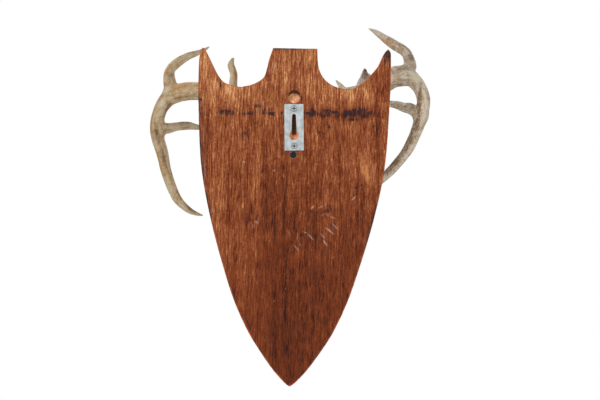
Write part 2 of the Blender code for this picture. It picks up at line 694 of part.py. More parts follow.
def main():
    collection, cutters = clear_scene()
    wood = material("stained_board_wood", (0.23, 0.082, 0.035), 0.6)
    zinc = material("zinc_plated_steel", (0.60, 0.63, 0.65), 0.38, 0.9)
    black = material("black_screw_steel", (0.02, 0.022, 0.026), 0.45, 0.6)
    bone = material("bone_and_antler", (0.56, 0.47, 0.35), 0.55)

    board(collection, cutters, wood)
    keyhole_plate(collection, cutters, zinc)
    for name, z in (("plate_screw_upper", UPPER_SCREW_Z), ("plate_screw_lower", LOWER_SCREW_Z)):
        wood_screw(name, on_plate(0, -GAP / 2, z), PLATE_SCREW, collection, cutters, zinc)
    place = (0, BOARD_BACK_Y, SKULL_SCREW_Z)
    wood_screw("skull_screw", place, SKULL_SCREW, collection, cutters, black)
    skull_and_antlers(collection, cutters, bone)


main()
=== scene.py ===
"""Looks of a deer skull mount: an antlered skull screwed to a stained, shield-shaped board.

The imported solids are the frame. Each class below makes one sub-assembly in finer form around them, in
metres and in the frame's own axes: +Z up, +Y into the wall, -Y out into the room, +X the animal's left.
The photograph looks at the back of the board, at the side that faces the wall.
"""

import json
import logging
import math
from collections.abc import Callable, Iterator
from contextlib import contextmanager
from dataclasses import dataclass, field
from enum import Enum

import bpy
import numpy as np
from mathutils import Matrix, Vector

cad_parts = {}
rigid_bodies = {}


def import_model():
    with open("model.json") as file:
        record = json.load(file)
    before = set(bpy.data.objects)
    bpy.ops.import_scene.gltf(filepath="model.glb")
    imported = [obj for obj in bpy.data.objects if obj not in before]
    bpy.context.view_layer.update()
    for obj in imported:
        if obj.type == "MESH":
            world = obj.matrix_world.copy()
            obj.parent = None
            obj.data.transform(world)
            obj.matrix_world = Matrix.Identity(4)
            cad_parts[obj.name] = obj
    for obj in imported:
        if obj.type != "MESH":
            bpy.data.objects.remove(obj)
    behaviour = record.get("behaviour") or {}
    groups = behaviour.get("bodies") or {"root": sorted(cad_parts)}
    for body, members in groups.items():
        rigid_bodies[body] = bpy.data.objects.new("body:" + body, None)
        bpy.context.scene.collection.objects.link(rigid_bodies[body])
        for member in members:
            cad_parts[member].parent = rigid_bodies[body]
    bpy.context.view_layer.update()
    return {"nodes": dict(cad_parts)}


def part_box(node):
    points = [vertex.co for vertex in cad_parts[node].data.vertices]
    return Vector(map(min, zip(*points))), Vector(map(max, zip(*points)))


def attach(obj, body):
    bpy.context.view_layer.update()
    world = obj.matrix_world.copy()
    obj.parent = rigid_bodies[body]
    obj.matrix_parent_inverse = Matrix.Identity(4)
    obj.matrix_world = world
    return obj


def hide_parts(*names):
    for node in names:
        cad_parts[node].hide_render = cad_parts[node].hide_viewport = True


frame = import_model()

LOG = logging.getLogger("deer_skull_mount")
MM = 0.001
Socket = bpy.types.NodeSocket
Value = Socket | float | tuple
Band = tuple[float, float]


class Side(Enum):
    """A side of the animal, by the sign of X."""

    LEFT = 1
    RIGHT = -1


class Tip(Enum):
    """How the end of a tine looks."""

    POLISHED = 0.0
    DARK = 1.0


@dataclass(frozen=True)
class PhotoView:
    """The photograph's camera, which looks straight at the back of the board, a little rolled.

    A pixel is given in the photograph's own frame, across from the left and down from the top.
    """

    width: int = 600
    height: int = 400
    pixel: float = 1.27 * MM
    distance: float = 2.0
    middle_x: float = -9.5 * MM
    middle_z: float = -110.7 * MM
    roll: float = math.atan(0.0167)
    sensor: float = 36.0

    def right(self) -> Vector:
        """The picture's right-hand direction."""
        return Vector((-math.cos(self.roll), 0.0, math.sin(self.roll)))

    def up(self) -> Vector:
        """The picture's upward direction."""
        return Vector((math.sin(self.roll), 0.0, math.cos(self.roll)))

    def shown(self, across: float, down: float, depth: float = 0.0) -> Vector:
        """The point that a pixel shows.

        Args:
            across: Pixels from the picture's left edge.
            down: Pixels from the picture's top edge.
            depth: How far beyond the keyhole plate's face the point lies.

        Returns:
            The point.
        """
        middle = Vector((self.middle_x, -depth, self.middle_z))
        scale = self.pixel * (self.distance + depth) / self.distance
        over = (across - self.width / 2) * scale
        rise = (self.height / 2 - down) * scale
        return middle + self.right() * over + self.up() * rise

    def build(self) -> bpy.types.Object:
        """Adds the camera and makes it the scene's own."""
        bpy.ops.object.camera_add()
        camera = bpy.context.object
        camera.name = "photo_camera"
        camera.data.sensor_width = self.sensor
        camera.data.lens = self.distance * self.sensor / (self.width * self.pixel)
        turned = Matrix((self.right(), self.up(), self.right().cross(self.up()))).transposed().to_4x4()
        turned.translation = Vector((self.middle_x, self.distance, self.middle_z))
        camera.matrix_world = turned
        bpy.context.scene.camera = camera
        return camera


PHOTO = PhotoView()


def colour(red: float, green: float, blue: float) -> tuple[float, float, float, float]:
    """Turns a colour as seen on a screen, 0 to 255, into the shader's linear values."""
    shares = [value / 255.0 for value in (red, green, blue)]
    linear = [s / 12.92 if s <= 0.04045 else ((s + 0.055) / 1.055) ** 2.4 for s in shares]
    return (*linear, 1.0)


@dataclass(frozen=True)
class Mark:
    """A mark on the board's back, by its place in the photograph.

    Its middle and its half sizes are in pixels, and its turn is anticlockwise from level in degrees.
    """

    across: float
    down: float
    half_length: float
    half_width: float
    turn: float = 0.0
    strength: float = 1.0


def drawn(*rows: tuple) -> tuple[Mark, ...]:
    """Marks from rows of their six values."""
    return tuple(Mark(*row) for row in rows)


@dataclass(frozen=True)
class Grain:
    """A field of smooth noise: its features to the metre, in all or along each axis, and its make."""

    scale: float | tuple
    detail: float = 2.0
    rough: float = 0.5


class Painter:
    """Lays out the nodes of one material, whose colour is built up in coats over its base."""

    def __init__(self, name: str, roughness: float, metallic: float = 0.0, specular: float = 0.5) -> None:
        """Starts a material.

        Args:
            name: Its name.
            metallic: How much of a metal it is.
            specular: How strongly it mirrors.
        """
        self.material = bpy.data.materials.new(name)
        self.material.use_nodes = True
        self.tree = self.material.node_tree
        self.shader = self.tree.nodes["Principled BSDF"]
        looks = {"Roughness": roughness, "Metallic": metallic, "Specular IOR Level": specular}
        self.feed(self.shader, looks)
        self.place = self.step("ShaderNodeTexCoord", "Object")
        self.base: Value = 0.0

    def feed(self, node: bpy.types.Node, inputs: dict) -> None:
        """Links outputs to a node's inputs, or writes plain values there."""
        for name, value in inputs.items():
            if isinstance(value, Socket):
                self.tree.links.new(value, node.inputs[name])
            else:
                node.inputs[name].default_value = value

    def step(self, kind: str, output: str | int, inputs: dict | None = None, **settings: object) -> Socket:
        """Adds a node.

        Args:
            kind: The node's type.
            output: Which of its outputs is wanted.
            inputs: What goes into it, by input.
            settings: Its options.

        Returns:
            The output.
        """
        node = self.tree.nodes.new(kind)
        for name, value in settings.items():
            setattr(node, name, value)
        self.feed(node, inputs or {})
        return node.outputs[output]

    def attribute(self, name: str, output: str = "Fac") -> Socket:
        """Reads what the mesh carries at its points."""
        return self.step("ShaderNodeAttribute", output, attribute_name=name)

    def noise(self, grain: Grain, vector: Socket | None = None) -> Socket:
        """Smooth noise, about 0.3 to 0.7, over the place or another vector."""
        vector, scale = vector or self.place, grain.scale
        if isinstance(scale, tuple):
            vector = self.step("ShaderNodeMapping", "Vector", {"Vector": vector, "Scale": scale})
            scale = 1.0
        make = {"Vector": vector, "Scale": scale, "Detail": grain.detail, "Roughness": grain.rough}
        return self.step("ShaderNodeTexNoise", "Fac", make)

    def cells(self, scale: float) -> Socket:
        """The distance to the nearest of a field of scattered points."""
        return self.step("ShaderNodeTexVoronoi", "Distance", {"Vector": self.place, "Scale": scale})

    def ramp(
        self,
        value: Value,
        low: float,
        high: float,
        start: float = 0.0,
        end: float = 1.0,
        way: str = "SMOOTHSTEP",
    ) -> Socket:
        """Spreads the values between low and high over start to end."""
        names = ("Value", "From Min", "From Max", "To Min", "To Max")
        inputs = dict(zip(names, (value, low, high, start, end)))
        return self.step("ShaderNodeMapRange", "Result", inputs, interpolation_type=way)

    def calc(self, operation: str, first: Value, second: Value = 0.0) -> Socket:
        """One step of arithmetic."""
        return self.step("ShaderNodeMath", 0, {0: first, 1: second}, operation=operation)

    def times(self, first: Value, second: Value) -> Socket:
        """The product of two values."""
        return self.calc("MULTIPLY", first, second)

    def total(self, *terms: tuple[Value, float]) -> Socket:
        """The sum of values, each times its own weight."""
        running: Value = 0.0
        for value, weight in terms:
            inputs = {0: value, 1: weight, 2: running}
            running = self.step("ShaderNodeMath", 0, inputs, operation="MULTIPLY_ADD")
        return running

    def blend(self, amount: Value, under: Value, over: Value) -> Socket:
        """Lays one colour over another by the given amount."""
        return self.step("ShaderNodeMix", 2, {0: amount, 6: under, 7: over}, data_type="RGBA")

    def coat(self, shade: Value, amount: Value, weight: float | None = None) -> None:
        """Lays a colour over the base by an amount, or by its product with a weight."""
        self.base = self.blend(amount if weight is None else self.times(amount, weight), self.base, shade)

    def shades(self, value: Socket, stops: tuple[tuple[float, tuple], ...]) -> Socket:
        """Turns a value into a colour through stops of (value, colour)."""
        ramp = self.tree.nodes.new("ShaderNodeValToRGB")
        elements = ramp.color_ramp.elements
        while len(elements) < len(stops):
            elements.new(0.5)
        for element, (position, shade) in zip(elements, stops):
            element.position = position
            element.color = shade
        self.feed(ramp, {"Fac": value})
        return ramp.outputs["Color"]

    def spot(self, centre: Vector, long_way: Vector, sizes: tuple[float, float, float]) -> Socket:
        """A soft oval patch that is 1 in its middle and falls to 0 at its rim.

        Args:
            centre: The patch's middle.
            long_way: The direction of its long axis, across Y.
            sizes: Half its length, its reach along Y and half its width.

        Returns:
            The strength of the patch at each place.
        """
        across = long_way.cross(Vector((0.0, 1.0, 0.0)))
        turned = Matrix((long_way, across.cross(long_way), across)).transposed().to_euler()
        inputs = {"Vector": self.place, "Location": tuple(centre), "Rotation": tuple(turned), "Scale": sizes}
        mapped = self.step("ShaderNodeMapping", "Vector", inputs, vector_type="TEXTURE")
        return self.step("ShaderNodeTexGradient", "Fac", {"Vector": mapped}, gradient_type="SPHERICAL")

    def marks(
        self, marks: tuple[Mark, ...], together: str = "MAXIMUM", depth: float = 0.0, reach: float = 9 * MM
    ) -> Socket:
        """The strength of a group of marks.

        Args:
            marks: The marks.
            together: How overlapping marks combine, by the name of an arithmetic step.
            depth: How far beyond the keyhole plate's face they lie.
            reach: How far each mark goes in depth.

        Returns:
            Their strength at each place.
        """
        strength: Value = 0.0
        for mark in marks:
            turn = math.radians(mark.turn)
            long_way = PHOTO.right() * math.cos(turn) + PHOTO.up() * math.sin(turn)
            sizes = (mark.half_length * PHOTO.pixel, reach, mark.half_width * PHOTO.pixel)
            spot = self.spot(PHOTO.shown(mark.across, mark.down, depth), long_way, sizes)
            strength = self.calc(together, strength, self.times(spot, mark.strength))
        return strength

    def bump(self, height: Socket, distance: float, strength: float) -> None:
        """Lets a height raise and sink the surface."""
        inputs = {"Height": height, "Distance": distance, "Strength": strength}
        self.feed(self.shader, {"Normal": self.step("ShaderNodeBump", "Normal", inputs)})

    def finish(self, roughness: Value | None = None) -> bpy.types.Material:
        """Feeds the shader with the coats and gives the finished material."""
        self.feed(self.shader, {"Base Color": self.base})
        if roughness is not None:
            self.feed(self.shader, {"Roughness": roughness})
        return self.material


def select_only(*pieces: bpy.types.Object) -> None:
    """Selects the given pieces alone and makes the first of them active."""
    for other in bpy.context.view_layer.objects:
        other.select_set(False)
    for piece in pieces:
        piece.select_set(True)
    bpy.context.view_layer.objects.active = pieces[0]


def apply_modifier(piece: bpy.types.Object, kind: str, **settings: object) -> None:
    """Adds a modifier with its settings and applies it."""
    select_only(piece)
    modifier = piece.modifiers.new(kind.lower(), kind)
    for name, value in settings.items():
        setattr(modifier, name, value)
    bpy.ops.object.modifier_apply(modifier=modifier.name)


def carve(
    piece: bpy.types.Object, cutter: bpy.types.Object, operation: str = "DIFFERENCE", solver: str = "EXACT"
) -> None:
    """Cuts a closed tool out of a piece, or adds it, and takes the tool away."""
    apply_modifier(piece, "BOOLEAN", operation=operation, solver=solver, object=cutter)
    bpy.data.objects.remove(cutter)


def joined(pieces: list[bpy.types.Object]) -> bpy.types.Object:
    """Makes one object of several."""
    select_only(*pieces)
    bpy.ops.object.join()
    return bpy.context.object


def primitive(add: Callable, name: str, **settings: object) -> bpy.types.Object:
    """Adds one of the simple solids by its operator and names it."""
    add(**settings)
    bpy.context.object.name = name
    return bpy.context.object


def settle(piece: bpy.types.Object) -> None:
    """Writes the piece's place into its mesh, so that its object stands at the origin unturned."""
    select_only(piece)
    bpy.ops.object.transform_apply(location=True, rotation=True, scale=True)


@contextmanager
def editing(piece: bpy.types.Object) -> Iterator[None]:
    """Opens a piece in edit mode with all of it selected, and closes it again."""
    select_only(piece)
    bpy.ops.object.mode_set(mode="EDIT")
    bpy.ops.mesh.select_all(action="SELECT")
    yield
    bpy.ops.object.mode_set(mode="OBJECT")


def corners(node: str) -> tuple[Vector, Vector]:
    """The low and the high corner of a solid's box."""
    low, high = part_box(node)
    return Vector(low), Vector(high)


def made_of(name: str, points: list, faces: list, edges: tuple | list = ()) -> bpy.types.Object:
    """A new object of the given points, faces and loose edges."""
    mesh = bpy.data.meshes.new(name)
    mesh.from_pydata(points, edges, faces)
    piece = bpy.data.objects.new(name, mesh)
    bpy.context.scene.collection.objects.link(piece)
    return piece


def ringed(name: str, points: list, around: int) -> bpy.types.Object:
    """A closed solid with flat ends.

    Args:
        name: Its name.
        points: Its points, ring after ring.
        around: How many points make a ring.

    Returns:
        The solid.
    """
    faces: list[tuple[int, ...]] = [tuple(range(around))]
    for a in range(0, len(points) - around, around):
        for i in range(around):
            j = (i + 1) % around
            faces.append((a + i, a + j, a + around + j, a + around + i))
    faces.append(tuple(range(len(points) - around, len(points))))
    return made_of(name, points, faces)


def smooth_line(points: np.ndarray, step: float) -> np.ndarray:
    """Points about one step apart on the smooth curve through the given ones.

    Args:
        points: One row a point; columns past the third, such as a radius, are carried along.
        step: The spacing wanted.

    Returns:
        The finer rows, the first and last as given.
    """
    ends = np.vstack([2 * points[0] - points[1], points, 2 * points[-1] - points[-2]])
    rows = [points[0]]
    for a, b, c, d in zip(ends, ends[1:], ends[2:], ends[3:]):
        count = max(1, round(float(np.linalg.norm((c - b)[:3])) / step))
        for i in range(1, count + 1):
            t = i / count
            bend = 2 * a - 5 * b + 4 * c - d
            twist = 3 * b - a - 3 * c + d
            rows.append(0.5 * (2 * b + (c - a) * t + bend * t**2 + twist * t**3))
    return np.array(rows)


def bar(name: str, rows: np.ndarray, roundness: int = 5) -> bpy.types.Object:
    """A round bar with closed ends through (x, y, z, radius) rows, as a mesh."""
    curve = bpy.data.curves.new(name, "CURVE")
    curve.dimensions = "3D"
    curve.bevel_depth = 1.0
    curve.bevel_resolution = roundness
    curve.use_fill_caps = True
    spline = curve.splines.new("POLY")
    spline.points.add(len(rows) - 1)
    for target, (x, y, z, radius) in zip(spline.points, rows):
        target.co = (x, y, z, 1.0)
        target.radius = radius
    piece = bpy.data.objects.new(name, curve)
    bpy.context.scene.collection.objects.link(piece)
    select_only(piece)
    bpy.ops.object.convert(target="MESH")
    weld(piece)
    return piece


def weld(piece: bpy.types.Object, distance: float = 0.005 * MM) -> None:
    """Merges doubled points and turns all faces outwards."""
    with editing(piece):
        bpy.ops.mesh.remove_doubles(threshold=distance)
        bpy.ops.mesh.normals_make_consistent(inside=False)


def sheet_piece(name: str, outline: list, front: float, back: float) -> bpy.types.Object:
    """A flat piece of the given (x, z) outline, extruded from one y to another."""
    count = len(outline)
    rim = [(i, (i + 1) % count) for i in range(count)]
    piece = made_of(name, [(x, front, z) for x, z in outline], [], rim)
    with editing(piece):
        bpy.ops.mesh.edge_face_add()
        bpy.ops.mesh.extrude_region_move(TRANSFORM_OT_translate={"value": (0.0, back - front, 0.0)})
        bpy.ops.mesh.select_all(action="SELECT")
        bpy.ops.mesh.normals_make_consistent(inside=False)
    return piece


def pin(name: str, place: Vector, size: float, depth: float, slope: float) -> bpy.types.Object:
    """A round pin about its place, whose axis runs along Y but for its slope."""
    turned = (math.pi / 2 + slope, 0.0, 0.0)
    sizes = {"vertices": 64, "radius": size / 2, "depth": depth}
    made = primitive(bpy.ops.mesh.primitive_cylinder_add, name, location=place, rotation=turned, **sizes)
    settle(made)
    return made


def read_points(mesh: bpy.types.Mesh, what: str) -> np.ndarray:
    """One vector of each of a mesh's points, one row each."""
    flat = np.empty(len(mesh.vertices) * 3, dtype=np.float32)
    mesh.vertices.foreach_get(what, flat)
    return flat.reshape(-1, 3).astype(float)


def points_of(mesh: bpy.types.Mesh) -> np.ndarray:
    """The places of a mesh's points, one row each."""
    return read_points(mesh, "co")


def normals_of(mesh: bpy.types.Mesh) -> np.ndarray:
    """The outward directions at a mesh's points, one row each."""
    return read_points(mesh, "normal")


def put_points(mesh: bpy.types.Mesh, places: np.ndarray) -> None:
    """Moves a mesh's points to new places."""
    mesh.vertices.foreach_set("co", places.astype(np.float32).ravel())
    mesh.update()


def from_run(places: np.ndarray, start: np.ndarray, end: np.ndarray) -> tuple[np.ndarray, np.ndarray]:
    """Measures points against a straight run.

    Args:
        places: The points.
        start: Where the run starts.
        end: Where it ends.

    Returns:
        How far along the run each point lies, 0 to 1, and its offset from the run there.
    """
    run = end - start
    t = np.clip(((places - start) @ run) / max(run @ run, 1e-12), 0.0, 1.0)
    return t, places - (start + t[:, None] * run)


def carry(mesh: bpy.types.Mesh, name: str, values: np.ndarray) -> None:
    """Stores a value, or a vector, at each point of a mesh for its material."""
    kind = "FLOAT_VECTOR" if values.ndim == 2 else "FLOAT"
    layer = mesh.attributes.new(name, kind, "POINT")
    layer.data.foreach_set("vector" if values.ndim == 2 else "value", values.astype(np.float32).ravel())


def relaxed(
    mesh: bpy.types.Mesh, places: np.ndarray, rounds: int, pulls: tuple[float, ...] = (0.6, -0.62)
) -> np.ndarray:
    """Evens out a mesh's points.

    Args:
        mesh: The mesh, for its edges.
        places: The points' places.
        rounds: How many times each point moves towards its neighbours.
        pulls: How far it moves in each round. A step back after a step keeps the form from shrinking.

    Returns:
        The new places.
    """
    edges = np.empty(len(mesh.edges) * 2, dtype=np.int32)
    mesh.edges.foreach_get("vertices", edges)
    one, two = edges.reshape(-1, 2).T
    near = np.concatenate([one, two])
    far = np.concatenate([two, one])
    count = np.maximum(np.bincount(near, minlength=len(places)), 1)
    places = places.copy()
    for pull in pulls * rounds:
        sums = [np.bincount(near, places[far, k], len(places)) for k in range(3)]
        places += (np.stack(sums, axis=1) / count[:, None] - places) * pull
    return places


def hollows(mesh: bpy.types.Mesh, places: np.ndarray, rounds: int, depth: float) -> np.ndarray:
    """How hollow the surface is at each point, from -1 on ridges to 1 in grooves."""
    flat = relaxed(mesh, places, rounds, (0.6,))
    return np.clip(np.einsum("ij,ij->i", flat - places, normals_of(mesh)) / depth, -1.0, 1.0)


def stepped(value: np.ndarray, low: float, high: float) -> np.ndarray:
    """A smooth step from 0 at low to 1 at high."""
    t = np.clip((value - low) / (high - low), 0.0, 1.0)
    return t * t * (3.0 - 2.0 * t)


def random_unit(cell: np.ndarray, seed: int) -> np.ndarray:
    """A repeatable random number from 0 to 1 for each row of whole numbers."""
    mixed = cell[:, 0] * 374761393 + cell[:, 1] * 668265263 + cell[:, 2] * 2147483647 + seed * 974634777
    mixed = (mixed ^ (mixed >> 13)) * 1274126177
    mixed = (mixed ^ (mixed >> 16)) & 0xFFFFFF
    return mixed / 0xFFFFFF


def roughly(places: np.ndarray, seed: int) -> np.ndarray:
    """Smooth noise from -1 to 1 with features of about one unit."""
    base = np.floor(places).astype(np.int64)
    part = places - base
    ease = part * part * (3.0 - 2.0 * part)
    total = np.zeros(len(places))
    for corner in range(8):
        step = np.array([corner & 1, corner >> 1 & 1, corner >> 2 & 1])
        weight = np.prod(np.where(step == 1, ease, 1.0 - ease), axis=1)
        total += weight * random_unit(base + step, seed)
    return total * 2.0 - 1.0


def beads(places: np.ndarray, seed: int) -> np.ndarray:
    """Scattered round beads, 1 in the middle of each and 0 between them."""
    base = np.floor(places).astype(np.int64)
    nearest = np.full(len(places), 9.0)
    for number in range(27):
        step = np.array([number % 3 - 1, number // 3 % 3 - 1, number // 9 - 1])
        cell = base + step
        seeds = np.stack([random_unit(cell, seed + k) for k in range(3)], axis=1)
        reach = np.linalg.norm(cell + 0.2 + 0.6 * seeds - places, axis=1)
        nearest = np.minimum(nearest, reach / (0.35 + 0.3 * random_unit(cell, seed + 3)))
    return np.clip(1.0 - nearest**2, 0.0, 1.0)


def hand_over(
    piece: bpy.types.Object,
    name: str,
    node: str,
    slot: str,
    *materials: bpy.types.Material,
    crease: float | None = None,
) -> None:
    """Names a finished piece, dresses it and puts it on the frame in place of its solid.

    Args:
        piece: The finished piece.
        name: Its name.
        node: The solid that it stands for.
        slot: The record's material slot that its finish belongs to. It is not used.
        materials: Its materials, in the order of its slots, unless it has them.
        crease: The angle in degrees past which an edge stays sharp. Without it all are smooth.
    """
    piece.name = name
    piece.data.name = name
    if materials:
        piece.data.materials.clear()
        for material in materials:
            piece.data.materials.append(material)
    select_only(piece)
    if crease is None:
        bpy.ops.object.shade_smooth()
    else:
        bpy.ops.object.shade_smooth_by_angle(angle=math.radians(crease))
    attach(piece, "root")
    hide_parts(node)
    faces = len(piece.data.polygons)
    triangles = len(piece.data.loops) - 2 * faces
    LOG.info("%s: %d points, %d faces, %d triangles", name, len(piece.data.vertices), faces, triangles)


# Broad lighter and darker areas of the stain.
LIGHT_AREAS = drawn(
    (231, 90, 46, 26, 0, 0.22), (345, 92, 52, 20, -12, 0.19), (222, 230, 120, 36, -72, 0.10),
    (309, 56, 16, 7, 80, 0.16), (300, 75, 40, 30, 0, 0.05), (364, 166, 34, 18, -72, 0.16),
    (206, 58, 22, 9, 84, 0.15),
)
DARK_AREAS = drawn(
    (288, 255, 130, 42, 88, 0.12), (335, 270, 110, 30, 72, 0.08), (380, 95, 70, 16, 85, 0.12),
    (383, 72, 30, 10, 78, 0.05), (290, 350, 50, 30, 88, 0.06), (248, 222, 26, 8, 88, 0.16),
    (345, 113, 60, 9, 2, 0.14),
)

# Soaked-in dark stains: the band where the board lay on something, blotches, pores and smears.
DARK_STAINS = drawn(
    (344, 114.2, 50, 6, 1, 0.85), (324, 114.2, 20, 4, 0, 0.9), (313.5, 112.5, 9, 6.5, 0, 1.2),
    (326, 111, 12, 3, 0, 0.9), (339, 115.5, 11, 3.2, 0, 0.8), (358, 110.5, 14, 4.2, 3, 0.95),
    (353, 119.5, 7, 2.6, 0, 1), (365, 116, 8, 4, 0, 0.8), (342.5, 105, 6, 1.6, 80, 0.9),
    (374, 116, 16, 2.6, 0, 0.6), (290, 112.8, 130, 2.2, 1, 0.95), (258, 105.5, 12, 3.6, 0, 0.95),
    (262, 110, 14, 4.6, 10, 0.75), (256, 112.5, 12, 3, 0, 1), (272, 114, 13, 3, -4, 1),
    (221, 112, 4, 3.5, 90, 0.9), (226, 111.5, 16, 3.6, 0, 0.75), (247, 133, 10, 8, 0, 0.55),
    (219, 84, 8, 3.4, -40, 0.8), (225.5, 102.5, 2.2, 1.6, 0, 1), (203, 113.5, 5, 3, 0, 0.85),
    (200.8, 99.3, 1.8, 2.2, 90, 1), (218, 82, 6, 3, -30, 0.6), (330, 127, 5, 3, 0, 0.7),
    (319.5, 132.5, 3, 1.6, 80, 0.8), (374, 126, 3, 2, 0, 0.7), (302, 97, 10, 2.2, 88, 0.7),
    (285, 96, 8, 3, 60, 0.5), (389, 50, 14, 5.5, 80, 1.1), (385, 62, 12, 3, 70, 0.5),
    (251.5, 210, 11, 1.1, 89, 1), (244.5, 197, 5, 1, 86, 0.8), (248, 222, 11, 5, 88, 0.7),
    (254, 232, 8, 2, 80, 0.6), (289, 225, 9, 2, 86, 0.5), (328.5, 209.5, 7, 4.5, 60, 0.85),
    (318, 215, 9, 1.1, 88, 0.8), (325.5, 225.5, 2.6, 1.6, 0, 0.9), (356, 188, 5.5, 1.4, 4, 0.9),
    (362, 185, 3, 1.4, 70, 0.7), (308.5, 286.5, 5, 1, 86, 0.8), (249, 326, 13, 0.9, -67, 0.9),
    (211, 236, 3.5, 1, 80, 0.8), (330, 184, 2, 1.6, 0, 0.6), (292, 72, 30, 1, 88, 0.35),
    (273, 83, 16, 0.9, 80, 0.4),
)

# Edges that are dark with handling, in place of the paler rim of wear and painted highlight.
DIRTY_EDGES = drawn(
    (388.5, 51, 14, 8, 80, 1.6), (200.5, 102, 14, 5, 89, 1.5), (202.5, 150, 46, 6, -87, 1.5),
    (207.5, 205, 20, 6, -78, 1.3), (372, 225, 34, 6, 72, 1), (286, 48, 24, 5, 1, 0.9),
)

# Grey-white scuffs and knife arcs.
SCUFFS = drawn(
    (304.5, 232.3, 6.5, 0.83, -18), (311, 237.3, 6.7, 1.08, -46, 1.3), (297.4, 237, 7, 0.83, 84),
    (301.4, 237.6, 2.6, 1.54, 0), (300.6, 245.4, 4.3, 1.08, -62), (296.4, 248, 5.5, 1.08, -56),
    (333.2, 217.6, 6.7, 0.95, -22), (335.2, 226.6, 8.4, 0.95, -44), (329.6, 230.8, 7.2, 1.32, -40, 1.5),
    (322.4, 236, 5.8, 1.54, -50), (325.2, 243, 6.1, 1.43, -56, 1.4), (321, 207, 4.9, 0.95, 20),
    (323.6, 214.4, 5.8, 0.83, 20), (353.8, 198.2, 5.2, 1.32, 46, 1.2), (244, 162, 3.5, 1.53, 0),
    (274, 170.5, 2.6, 1.43, 0), (256.6, 222, 2.8, 2.55, 0), (253.2, 226.2, 4.3, 1.43, 86),
    (205, 170, 13, 1.36, -86, 0.9), (203.6, 122, 78, 1.54, 89.5, 0.5), (205.2, 70, 24, 1.2, 89, 0.4),
    (212.8, 211, 5.8, 1.19, -84, 0.8), (272.5, 66, 15, 1.26, 78, 0.7), (289, 233, 7.2, 0.95, -60, 0.5),
    (296, 219, 4.3, 0.95, -50, 0.4),
)

# Bare wood that shows through the stain.
BARE_SPOTS = drawn(
    (361, 163, 9, 5.5, 20, 0.62), (366.5, 175, 14, 4.6, -74, 0.9), (363.5, 168, 12, 5.5, -62, 0.6),
    (315.2, 52.5, 6.5, 1.5, 88, 1.1), (310.8, 51, 5, 1, 88, 0.8), (306.8, 94, 8, 1.2, 88, 0.9),
    (212.2, 190, 3.4, 1.1, 88, 1.2), (242.6, 205.6, 3.6, 1.1, 86, 2.2), (313.8, 195, 4.2, 1.1, 84, 1),
    (312.3, 207.6, 4.6, 1.5, 48, 1.2), (301.2, 213, 3.2, 1, 84, 0.9), (283.6, 176, 3.6, 0.9, 86, 1),
    (276.4, 182, 4.4, 0.9, 88, 0.9), (316, 222.8, 3.6, 1.3, -8, 0.7), (308, 224, 4.5, 1.3, 10, 0.4),
    (350, 226, 4.5, 2.2, 0, 0.4), (384.6, 151.5, 2.4, 1.2, 80, 1.5), (238.6, 105, 5.5, 1.1, -84, 1.4),
    (231.4, 100, 9, 0.8, 88, 0.9), (278.6, 84, 3, 1.8, 60, 1.1), (268, 106, 9, 1.2, 88, 0.8),
    (208, 66, 8, 1, 86, 1), (280.5, 125, 8, 0.9, 89, 0.8), (305, 66, 26, 1.2, 89, 0.5),
    (346, 95, 2.4, 1, 80, 1.2), (285.4, 289, 2.2, 1, 80, 1.3), (274, 301, 2.4, 1.2, 60, 1.3),
    (333.4, 257.6, 2.6, 1.2, 70, 0.8), (269.4, 241, 3.4, 1.2, 86, 0.6),
)


